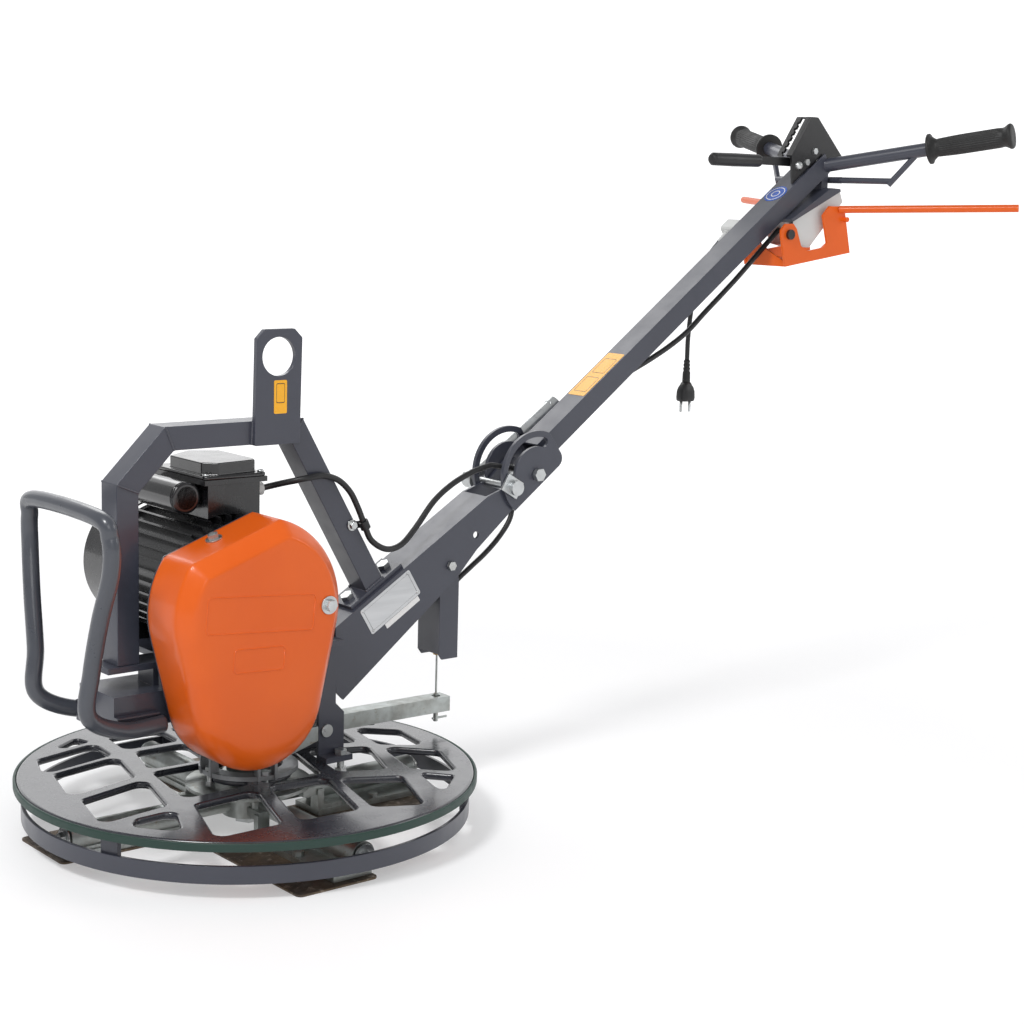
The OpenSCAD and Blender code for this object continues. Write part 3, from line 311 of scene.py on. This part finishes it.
# Rounding of each CAD node's edges, in millimetres
ROUND_OF = {"guard_plate": 3.6, "guard_trim": 1.6, "guard_ring": 0.8, "terminal_lid": 3.0,
            "terminal_box": 2.5, "roll_frame": 1.6, "handle_tube": 1.2, "handle_bracket": 0.8,
            "lifting_plate": 0.7, "switch_box": 3.0, "deadman_bail": 0.8, "mains_plug": 3.0,
            "capacitor": 2.0, "fan_cowl": 1.2, "rotor_hub": 1.2, "blade_1": 0.5, "blade_2": 0.5,
            "blade_3": 0.5, "blade_4": 0.5}


def dress_cad():
    for key, names in MATERIAL_OF.items():
        for name in names.split():
            o = nodes[name]
            for i in range(max(1, len(o.material_slots))):
                if i < len(o.material_slots):
                    o.material_slots[i].material = M[key]
                else:
                    o.data.materials.append(M[key])
            for face in o.data.polygons:
                face.use_smooth = True
            weld = o.modifiers.new("weld", "WELD")
            weld.merge_threshold = 0.00002
            flat = o.modifiers.new("flat", "DECIMATE")
            flat.decimate_type = "DISSOLVE"
            flat.angle_limit = math.radians(0.6)
            flat.delimit = {"MATERIAL"}
            edge = o.modifiers.new("edge", "BEVEL")
            edge.width = ROUND_OF.get(name, 0.6) * MM
            edge.segments = 3 if ROUND_OF.get(name, 0.6) > 1 else 2
            edge.limit_method = "ANGLE"
            edge.angle_limit = math.radians(38)
            edge.use_clamp_overlap = name != "guard_plate"
            even = o.modifiers.new("even", "WEIGHTED_NORMAL")
            even.weight = 100
            even.keep_sharp = True


def paint_faces(name, key, test):
    """Gives another material to the faces of a CAD node whose middle (in millimetres) passes the test."""
    o = nodes[name]
    o.data.materials.append(M[key])
    for face in o.data.polygons:
        middle = o.matrix_world @ face.center / MM
        if test(*middle):
            face.material_index = len(o.data.materials) - 1


def paint_small_parts():
    """Faces that are of another material than the rest of their node."""
    paint_faces("cable_fittings", "grey", lambda x, y, z: z > 430)
    paint_faces("cable_fittings", "plastic", lambda x, y, z: 360 < z < 430)
    paint_faces("pitch_quadrant", "zinc", lambda x, y, z: y < -16.05)
    paint_faces("pitch_quadrant", "zinc", lambda x, y, z: math.hypot(x - 1068, z - 912) < 6.5)
    paint_faces("switch_box", "plastic", lambda x, y, z: abs(y) > 33.02 and 962 < x < 992.5 and 786 < z < 820)
    paint_faces("switch_box", "motor", lambda x, y, z: abs(y) > 36 and math.hypot(x - 975, z - 797) < 8.5)


# ---------------------------------------------------------------- mesh helpers

def new_piece(name, verts, faces, mat, body, smooth=True):
    mesh = bpy.data.meshes.new(name)
    mesh.from_pydata([tuple(v) for v in verts], [], faces)
    mesh.update()
    work = bmesh.new()
    work.from_mesh(mesh)
    bmesh.ops.recalc_face_normals(work, faces=work.faces)
    work.to_mesh(mesh)
    work.free()
    for face in mesh.polygons:
        face.use_smooth = smooth
    mesh.materials.append(M[mat])
    o = bpy.data.objects.new(name, mesh)
    scene.collection.objects.link(o)
    if body:
        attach(o, body)
    return o


def soften(o, width, segments=3, angle=35):
    edge = o.modifiers.new("edge", "BEVEL")
    edge.width = width * MM
    edge.segments = segments
    edge.limit_method = "ANGLE"
    edge.angle_limit = math.radians(angle)
    edge.harden_normals = True
    return o


def curve_through(points, steps):
    """A smooth curve through the points, as part.scad draws its cables."""
    out = []
    for i in range(len(points) - 1):
        a, b, c, d = (points[max(0, min(len(points) - 1, i + k))] for k in (-1, 0, 1, 2))
        for k in range(steps):
            t = k / steps
            out.append(0.5 * (2 * b + (c - a) * t + (2 * a - 5 * b + 4 * c - d) * t * t
                              + (3 * b - a - 3 * c + d) * t ** 3))
    return out + [points[-1]]


def sweep(path, radii, n=20):
    """Vertices and faces of a closed tube along a path."""
    side = Vector((0, 1, 0))
    verts = []
    for i, p in enumerate(path):
        ahead = (path[min(i + 1, len(path) - 1)] - path[max(i - 1, 0)]).normalized()
        side = (side - ahead * side.dot(ahead)).normalized()
        other = ahead.cross(side)
        r = radii if isinstance(radii, float) else radii[i]
        verts += [p + (side * math.cos(2 * math.pi * k / n) + other * math.sin(2 * math.pi * k / n)) * r
                  for k in range(n)]
    faces = [(i * n + k, (i + 1) * n + k, (i + 1) * n + (k + 1) % n, i * n + (k + 1) % n)
             for i in range(len(path) - 1) for k in range(n)]
    last = (len(path) - 1) * n
    return verts, faces + [tuple(range(n)), tuple(last + k for k in range(n - 1, -1, -1))]


def tube(name, path, radii, mat, body, n=20):
    return new_piece(name, *sweep(path, radii, n), mat, body)


def lathe(name, start, ahead, profile, mat, body, n=48, ribs=None):
    """A turned shape: profile holds (distance along, radius) in millimetres."""
    ahead = Vector(ahead).normalized()
    side = ahead.orthogonal().normalized()
    other = ahead.cross(side)
    verts = []
    for along, r in profile:
        for k in range(n):
            a = 2 * math.pi * k / n
            rr = r - (ribs(along, a) if ribs else 0)
            verts.append(Vector(start) + ahead * along * MM
                         + (side * math.cos(a) + other * math.sin(a)) * rr * MM)
    m = len(profile)
    faces = [(i * n + k, (i + 1) * n + k, (i + 1) * n + (k + 1) % n, i * n + (k + 1) % n)
             for i in range(m - 1) for k in range(n)]
    faces += [tuple(range(n)), tuple((m - 1) * n + k for k in range(n - 1, -1, -1))]
    return new_piece(name, verts, faces, mat, body)


def plate(name, outline, place, across, along, thick, mat, body, edge=0.0):
    """A thin plate: a 2D outline in millimetres, laid in the plane of across and along."""
    across, along = Vector(across).normalized(), Vector(along).normalized()
    out = across.cross(along)
    n = len(outline)
    verts = [Vector(place) + (across * x + along * y + out * z) * MM
             for z in (0, thick) for x, y in outline]
    faces = [tuple(range(n - 1, -1, -1)), tuple(range(n, 2 * n))]
    faces += [(k, (k + 1) % n, n + (k + 1) % n, n + k) for k in range(n)]
    o = new_piece(name, verts, faces, mat, body, smooth=False)
    return soften(o, edge, 2) if edge else o


def rounded_box(w, h, r, n=5):
    out = []
    for cx, cy, start in ((w / 2 - r, h / 2 - r, 0), (r - w / 2, h / 2 - r, 90), (r - w / 2, r - h / 2, 180),
                          (w / 2 - r, r - h / 2, 270)):
        for k in range(n + 1):
            a = math.radians(start + 90 * k / n)
            out.append((cx + r * math.cos(a), cy + r * math.sin(a)))
    return out


def circle(r, n=40):
    return [(r * math.cos(2 * math.pi * k / n), r * math.sin(2 * math.pi * k / n)) for k in range(n)]


def bead(name, path, r, mat, body):
    """A weld bead: a rippled tube along a path."""
    fine = []
    for a, b in zip(path, path[1:]):
        steps = max(2, int((b - a).length / 0.0009))
        fine += [a.lerp(b, k / steps) for k in range(steps)]
    fine.append(path[-1])
    radii = [r * MM * (0.86 + 0.16 * abs(math.sin(i * 0.62))) for i in range(len(fine))]
    return tube(name, fine, radii, mat, body, 10)


# ---------------------------------------------------------------- belt cover

COVER = ((-66, 322, 121), (-65, 210, 95))
CHORD = ((-107, 413.5), math.radians(19.5))


def cover_outline(inset, n=160):
    """Points of the cover's outline at that inset, at even angles round its middle."""
    (ax, az, ar), (bx, bz, br) = COVER
    ar, br = ar - inset, br - inset
    d = math.hypot(bx - ax, bz - az)
    base, lean = math.atan2(bz - az, bx - ax), math.acos((ar - br) / d)
    middle = (-66, 285)
    cut = (-math.sin(CHORD[1]), math.cos(CHORD[1]))
    limit = (CHORD[0][0] - middle[0]) * cut[0] + (CHORD[0][1] - middle[1]) * cut[1] - inset
    out = []
    for k in range(n):
        a = 2 * math.pi * k / n
        u = (math.cos(a), math.sin(a))
        reach = []
        for x, z, r in ((ax, az, ar), (bx, bz, br)):
            ox, oz = middle[0] - x, middle[1] - z
            b = ox * u[0] + oz * u[1]
            c = ox * ox + oz * oz - r * r
            if b * b > c:
                t = -b + math.sqrt(b * b - c)
                hit = math.atan2(oz + t * u[1], ox + t * u[0]) - base
                hit = abs((hit + math.pi) % (2 * math.pi) - math.pi)
                if (r == ar and hit >= lean - 1e-6) or (r == br and hit <= lean + 1e-6):
                    reach.append(t)
        for s in (-1, 1):
            w = (math.cos(base + s * lean), math.sin(base + s * lean))
            facing = u[0] * w[0] + u[1] * w[1]
            if facing > 1e-6:
                t = (ar - (middle[0] - ax) * w[0] - (middle[1] - az) * w[1]) / facing
                px, pz = middle[0] + t * u[0] - ax, middle[1] + t * u[1] - az
                along = px * math.cos(base) + pz * math.sin(base)
                if ar * math.cos(lean) - 1e-6 <= along <= d + br * math.cos(lean) + 1e-6:
                    reach.append(t)
        t = min(reach) if reach else ar
        facing = u[0] * cut[0] + u[1] * cut[1]
        if facing > 1e-6:
            t = min(t, limit / facing)
        out.append((middle[0] + t * u[0], middle[1] + t * u[1]))
    return out


def make_cover():
    # Rings from the back edge, over the bevel (rounder at the bottom), to the front, then the inside
    crisp = [(0, -63), (0, -66), (0, -124), (0, -127), (0.15, -128.6), (0.6, -130), (1.3, -131.2),
             (6, -136.4), (11, -142), (16.2, -147.8), (17.6, -149), (19.2, -149.7), (21, -149.95), (24, -150),
             (36, -150)]
    soft = [(0, -63), (0, -66), (0, -118), (0.2, -122), (0.7, -126), (1.6, -130), (3, -133.6), (5.2, -137.2),
            (8, -140.6), (11.4, -143.6), (15.2, -146), (19.2, -147.8), (23.4, -149), (28, -150), (40, -150)]
    inner = [(2.4, -63), (2.4, -122), (6, -131), (16, -143), (26, -147), (40, -147)]
    rings, n = [], 160
    for (inset, y), (inset_2, y_2) in zip(crisp, soft):
        ring = []
        for k, (a, b) in enumerate(zip(cover_outline(inset, n), cover_outline(inset_2, n))):
            w = min(1, max(0, 0.35 - 1.1 * math.sin(2 * math.pi * k / n + 0.5)))
            ring.append(mm(a[0], y, a[1]).lerp(mm(b[0], y_2, b[1]), w))
        rings.append(ring)
    for inset, y in inner[::-1]:
        rings.append([mm(x, y, z) for x, z in cover_outline(inset, n)])
    verts = [v for ring in rings for v in ring]
    m = len(rings)
    faces = []
    split = len(crisp)
    for i in range(m):
        if i == split - 1:
            continue
        j = (i + 1) % m
        faces += [(i * n + k, j * n + k, j * n + (k + 1) % n, i * n + (k + 1) % n) for k in range(n)]
    faces += [tuple(i * n + k for k in range(n)) for i in (split - 1, split)]
    cover = new_piece("belt_cover_shell", verts, faces, "orange", "machine")
    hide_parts("belt_cover")
    # Plain pressed outlines, blank inside
    for name, w, h, x, z, turn in (("pressed_panel", 158, 46, -75, 325, -4.5),
                                   ("pressed_patch", 74, 30, -78, 267, -3)):
        t = math.radians(turn)
        rim = [mm(x + px * math.cos(t) - pz * math.sin(t), -149.85, z + px * math.sin(t) + pz * math.cos(t))
               for px, pz in rounded_box(w, h, 5)]
        tube(name, rim + [rim[0]], 0.75 * MM, "orange", "machine", 10)


# ---------------------------------------------------------------- tubes and cables

MOTOR_CABLE = [(24, 10, 455), (36, 5, 458), (50, -8, 463), (62, -20, 467), (76, -26, 470), (100, -26, 471),
               (124, -26, 463), (143, -26, 446), (156, -26, 424), (168, -26, 398), (180, -26, 375),
               (206, -25, 360), (234, -22, 363), (262, -18, 384), (298, -12, 418), (334, -9, 440),
               (370, -8, 454), (396, -8, 460), (408, -8, 461), (436, -8, 455), (462, -8, 452), (484, -8, 459),
               (506, -8, 478), (560, -7, 524), (610, -6, 560), (650, -5, 577), (684, -5, 590), (722, -5, 606),
               (760, -5, 624), (796, -5, 645), (830, -5, 672), (864, -5, 698), (900, -5, 726), (936, -5, 756),
               (968, -5, 783), (994, -4, 804)]
CONDUIT = [(566, 12, 530), (530, 12, 504), (500, 11, 478), (480, 9, 452), (466, 7, 426), (457, 4, 395),
           (448, 1, 374), (428, 0, 351), (403, 0, 330), (376, 0, 312), (350, 0, 294), (330, 0, 272),
           (319, 0, 248), (318, 0, 232), (318, 0, 217)]
LEAD = [(923, 44, 793), (911, 44, 784), (899, 44, 774), (888, 44, 763), (878, 44, 750), (869, 44, 735),
        (862, 44, 718), (856, 44, 700), (852, 44, 680), (849, 44, 660), (847, 44, 640), (846, 44, 622),
        (846, 44, 606), (846, 44, 594)]
LOOP = [(-165, 62, 178), (-224, 64, 178), (-274, 71, 205), (-272, 76, 262), (-268, 92, 330),
        (-262, 108, 388), (-262, 108, 430), (-266, 84, 454)]


def make_cables(plug):
    path = curve_through([mm(*p) for p in MOTOR_CABLE], 5)
    cable = tube("motor_cable", path, 4.25 * MM, "cable", None, 18)
    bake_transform(cable)
    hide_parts("lower_cables")
    path = curve_through([mm(*p) for p in CONDUIT], 5)
    conduit = tube("pitch_cable", path, 3.9 * MM, "cable", None, 18)
    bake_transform(conduit)
    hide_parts("upper_cables")
    loop = [mm(*p) for p in LOOP] + [mm(x, -y, z) for x, y, z in reversed(LOOP)]
    bar = tube("front_loop", curve_through(loop, 12), 11 * MM, "loop", "machine", 32)
    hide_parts("front_handle")
    path = curve_through([mm(*p) for p in LEAD], 4)
    lead = tube("mains_cord", path, 3.75 * MM, "cable", "handle", 18)
    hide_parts("mains_lead")


def make_grips():
    d = (0.389, -0.906, 0.168)
    profile = [(0, 11), (0, 23.2), (0.5, 24), (3.5, 24), (4.2, 23.2), (6, 19.5), (9, 17), (12, 14.8),
               (14, 14)]
    profile += [(16 + 4 * k, 14.2 + 1.5 * math.sin(math.pi * min(1, (k + 1) / 12) / 2)) for k in range(25)]
    profile += [(116, 15.3), (119, 15), (122, 15.8), (126, 18.2), (129, 19.9), (132, 19.6), (133.6, 18),
                (134, 15), (134, 6)]
    for side in (-1, 1):
        start = mm(1078 + 190 * d[0], side * 190 * d[1], 905 + 190 * d[2])

        def ribs(along, a):
            if not 17 < along < 115:
                return 0
            fade = min(1, (along - 17) / 4, (115 - along) / 4)
            return fade * 0.9 * (0.5 + 0.5 * math.cos(28 * a)) ** 2
        lathe(f"grip_{'left' if side > 0 else 'right'}", start, (d[0], side * d[1], d[2]),
                           profile, "rubber", "handle", 168, ribs)
    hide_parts("grips")


# ---------------------------------------------------------------- labels, welds and small parts

def make_labels():
    along, up = leaning(HANDLE_LEAN)
    side, top = (0, 1, 0), PIVOT + up * TUBE_TOP * MM
    # Two plain frames on the yellow label of the handle, one on the lifting plate's
    plate("handle_label", rounded_box(100, 36, 2), top + along * 0.197, along, side, 0.25, "yellow", "handle")
    for i, x in enumerate((-24, 20)):
        frame_line("handle_label_frame_%d" % i, top + along * (0.197 + x * MM) + up * 0.0003, along, side,
                   34, 26, "label_black", "handle")
    plate("side_label", rounded_box(20, 44, 2), mm(29, -28.05, 581), (1, 0, 0), (0, 0, 1), 0.25, "yellow",
          "machine")
    frame_line("side_label_frame", mm(29, -28.35, 586), (1, 0, 0), (0, 0, 1), 13, 26, "label_black",
               "machine")
    # Round blue sticker with two plain rings
    spot = top + along * 0.663
    plate("round_sticker", circle(20), spot, along, side, 0.25, "blue", "handle")
    for name, r, width in (("round_sticker_ring", 16.5, 1.3), ("round_sticker_dot", 8, 1.6)):
        ring = [spot + up * 0.0003 + (along * x + Vector((0, y, 0))) * MM for x, y in circle(r)]
        flat_ring(name, ring, width, up, "white", "handle")
    # Blank rating plate on the bracket's side, with a plain strip below
    u, v = leaning(BRACKET_LEAN)
    plate("rating_plate", rounded_box(97, 42, 3), mm(212, BRACKET_FACE, 285), u, v, 0.4, "silver", "machine",
          0.15)
    frame_line("rating_plate_line", mm(212, -30.0, 285), u, v, 88, 33, "label_black", "machine", 0.25)
    plate("plain_strip", rounded_box(66, 8, 1), mm(233, BRACKET_FACE, 268), u, v, 0.25, "white", "machine")


def frame_line(name, place, across, along, w, h, mat, body, r=0.5):
    """A printed line round a rounded box."""
    across, along = Vector(across).normalized(), Vector(along).normalized()
    ring = [Vector(place) + (across * x + along * y) * MM for x, y in rounded_box(w, h, 2)]
    flat_ring(name, ring, r * 2, across.cross(along), mat, body)


def flat_ring(name, ring, width, out, mat, body):
    """A thin printed line that follows a closed ring of points."""
    n = len(ring)
    middle = sum(ring, Vector()) / n
    verts, faces = [], []
    for p in ring:
        inward = (middle - p).normalized() * width * MM
        verts += [p, p + inward, p + out * 0.00006, p + inward + out * 0.00006]
    for k in range(n):
        a, b = 4 * k, 4 * ((k + 1) % n)
        faces += [(a + 2, b + 2, b + 3, a + 3), (a, a + 1, b + 1, b), (a, b, b + 2, a + 2),
                  (a + 1, a + 3, b + 3, b + 1)]
    return new_piece(name, verts, faces, mat, body, smooth=False)


def make_welds():
    bead("weld_lift_top", [mm(-9, -21, 550.4), mm(62, -21, 550.4)], 2.2, "weld", "machine")
    bead("weld_lift_left", [mm(-10.2, -20.6, 519), mm(-8.5, -20.6, 549)], 2.0, "weld", "machine")
    bead("weld_lift_right", [mm(60.4, -20.6, 519), mm(61.5, -20.6, 549)], 2.0, "weld", "machine")
    for y in (-20.1, 20.1):
        bead("weld_corner_low", [mm(-206, y, 481), mm(-175.5, y, 468)], 1.5, "weld", "machine")
        bead("weld_corner_high", [mm(-137.5, y, 550), mm(-124.5, y, 519)], 1.5, "weld", "machine")
        bead("weld_corner_back", [mm(70, y, 550), mm(52.2, y, 519)], 1.5, "weld", "machine")
    for s in (-1, 1):
        bead("weld_loop_end", [mm(-226, s * 56, 190.2), mm(-168, s * 56, 190.2)], 2.0, "weld", "machine")
    # Short beads, given by where their middle line starts and ends in a leaning part's own directions
    for name, start, angle, ends, y, r, body in (
            ("weld_foot", mm(194, 0, 305.2), BRACKET_LEAN, ((-17, 6.5), (17, 6.5)), 20.5, 2.2, "machine"),
            ("weld_disc", PIVOT, HANDLE_LEAN, ((54, 3), (54, 18)), 21.4, 1.8, "handle")):
        u, v = leaning(angle)
        for side in (-y, y):
            bead(name, [start + v * b * MM + u * a * MM + mm(0, side, 0) for a, b in ends], r, "weld", body)


def hex_head(name, place, out, across, high, mat, body, washer=0.0):
    """A hex head with its rounded top chamfer, on an optional washer."""
    out = Vector(out).normalized()
    side = out.orthogonal().normalized()
    other = out.cross(side)
    r = across / math.sqrt(3)
    verts = [Vector(place) + out * (z + washer) * MM
             + (side * math.cos(math.pi / 3 * k) + other * math.sin(math.pi / 3 * k)) * rr * MM
             for z, rr in ((0, r), (high * 0.82, r), (high, r * 0.9)) for k in range(6)]
    faces = [(i * 6 + k, (i + 1) * 6 + k, (i + 1) * 6 + (k + 1) % 6, i * 6 + (k + 1) % 6)
             for i in range(2) for k in range(6)]
    faces += [tuple(range(6)), tuple(12 + k for k in range(5, -1, -1))]
    head = new_piece(name, verts, faces, mat, body, smooth=False)
    soften(head, 0.25, 2, 20)
    if washer:
        lathe(name + "_washer", place, out, [(0, r * 0.5), (0, r * 1.35), (washer * 0.7, r * 1.35),
                                             (washer, r * 1.28), (washer, r * 0.5)], mat, body, 36)
    return head


def make_motor_details():
    cx, cz = -52, 342
    for k in range(12):
        a = math.pi * 2 * k / 12 + 0.26
        u = Vector((math.cos(a), 0, math.sin(a)))
        base = mm(cx, -55, cz)
        side = Vector((-u.z, 0, u.x))
        p = [base + u * r * MM + side * s * MM + Vector((0, y * MM, 0))
             for s in (-2, 2) for r, y in ((36, 0), (36, -4.5), (72, -3), (78, 0))]
        new_piece("shield_rib_%d" % k, p, [(0, 1, 2, 3), (7, 6, 5, 4), (0, 4, 5, 1), (1, 5, 6, 2),
                                           (2, 6, 7, 3), (3, 7, 4, 0)], "motor", "machine", smooth=False)
    for k in range(4):
        a = math.pi / 4 + math.pi / 2 * k
        hex_head("shield_bolt_%d" % k, mm(cx + 73 * math.cos(a), -55.2, cz + 73 * math.sin(a)), (0, -1, 0),
                 8, 4, "zinc", "machine", 1.0)
    for i, (x, y) in enumerate(((-82, -26), (0, -26), (0, 93), (-82, 93))):
        lathe("lid_screw_%d" % i, mm(x, y, 484), (0, 0, 1), [(0, 4.2), (1.6, 4.2), (2.8, 3.2), (3.2, 1.5)],
              "zinc", "machine", 24)
    lathe("capacitor_rim", mm(-106, -14, 456), (0, -1, 0), [(0, 18), (0.5, 20.4), (2.5, 20.8), (4, 19.6),
                                                          (4, 17)], "lid", "machine", 48)


def make_fixings():
    hex_head("clip_bolt", mm(151, -21, 398), (0, -1, 0), 10, 5, "zinc", "machine", 1.2)
    c, s = math.cos(BRACKET_LEAN), math.sin(BRACKET_LEAN)
    for i, (x, z) in enumerate(((-44, -17), (44, -17), (-44, 17), (44, 17))):
        lathe("plate_rivet_%d" % i, mm(212 + x * c - z * s, -29.9, 285 + x * s + z * c), (0, -1, 0),
              [(0, 1.9), (0.5, 1.8), (1.0, 1.0)], "zinc", "machine", 20)


def make_plug():
    x, y, top = 846, 44, 594
    profile = [(0, 3.9), (1, 5.2), (3, 5.2), (4, 4.6), (6, 4.6), (7, 5.4), (9, 5.4), (10, 4.8), (12, 4.8),
               (13, 5.7), (15, 5.7), (16, 5.1), (18, 5.1), (19, 6.0), (22, 6.2), (30, 6.4), (40, 6.5)]
    sleeve = lathe("plug_sleeve", mm(x, y, top), (0, 0, -1), profile, "rubber", "handle", 32)
    rings = [(36, 7, 6.5), (40, 9.5, 7.5), (44, 12.5, 9), (50, 14.6, 10.4), (60, 15, 11), (64, 14.6, 10.6),
             (66, 13, 9.4)]
    n, verts = 40, []
    for down, w, d in rings:
        for k in range(n):
            a = 2 * math.pi * k / n
            c, s = math.cos(a), math.sin(a)
            f = (abs(c) ** 3.4 + abs(s) ** 3.4) ** (-1 / 3.4)
            verts.append(mm(x + w * c * f, y + d * s * f, top - down))
    faces = [(i * n + k, (i + 1) * n + k, (i + 1) * n + (k + 1) % n, i * n + (k + 1) % n)
             for i in range(len(rings) - 1) for k in range(n)]
    last = (len(rings) - 1) * n
    faces += [tuple(range(n)), tuple(last + k for k in range(n))]
    shell = new_piece("plug_shell", verts, faces, "plastic", "handle")
    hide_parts("mains_plug")
    pins = []
    for s in (-1, 1):
        pins.append(lathe("plug_pin", mm(x + 9.5 * s, y, top - 66), (0, 0, -1),
                          [(-1, 2.4), (10, 2.4), (16, 2.4), (17.4, 2.0), (18, 1.2)], "zinc", "handle", 24))
    return [shell, sleeve] + pins


def make_gland():
    """Ribbed, tapered strain relief where the mains lead leaves its entry block."""
    path = curve_through([mm(*p) for p in LEAD[:4]], 8)
    back = mm(940, 44, 805.5)
    a = path[0]
    line = [back.lerp(a, k / 8) for k in range(8)] + path[:12]
    radii = [(6.6 - 2.3 * i / (len(line) - 1) + (0.5 if i % 3 == 0 else 0)) * MM for i in range(len(line))]
    tube("mains_strain_relief", line, radii, "grey", "handle", 24)


M = make_materials()
make_camera()
make_stage()
dress_cad()
paint_small_parts()
make_cover()
make_cables(make_plug())
make_grips()
make_labels()
make_welds()
make_motor_details()
make_fixings()
make_gland()
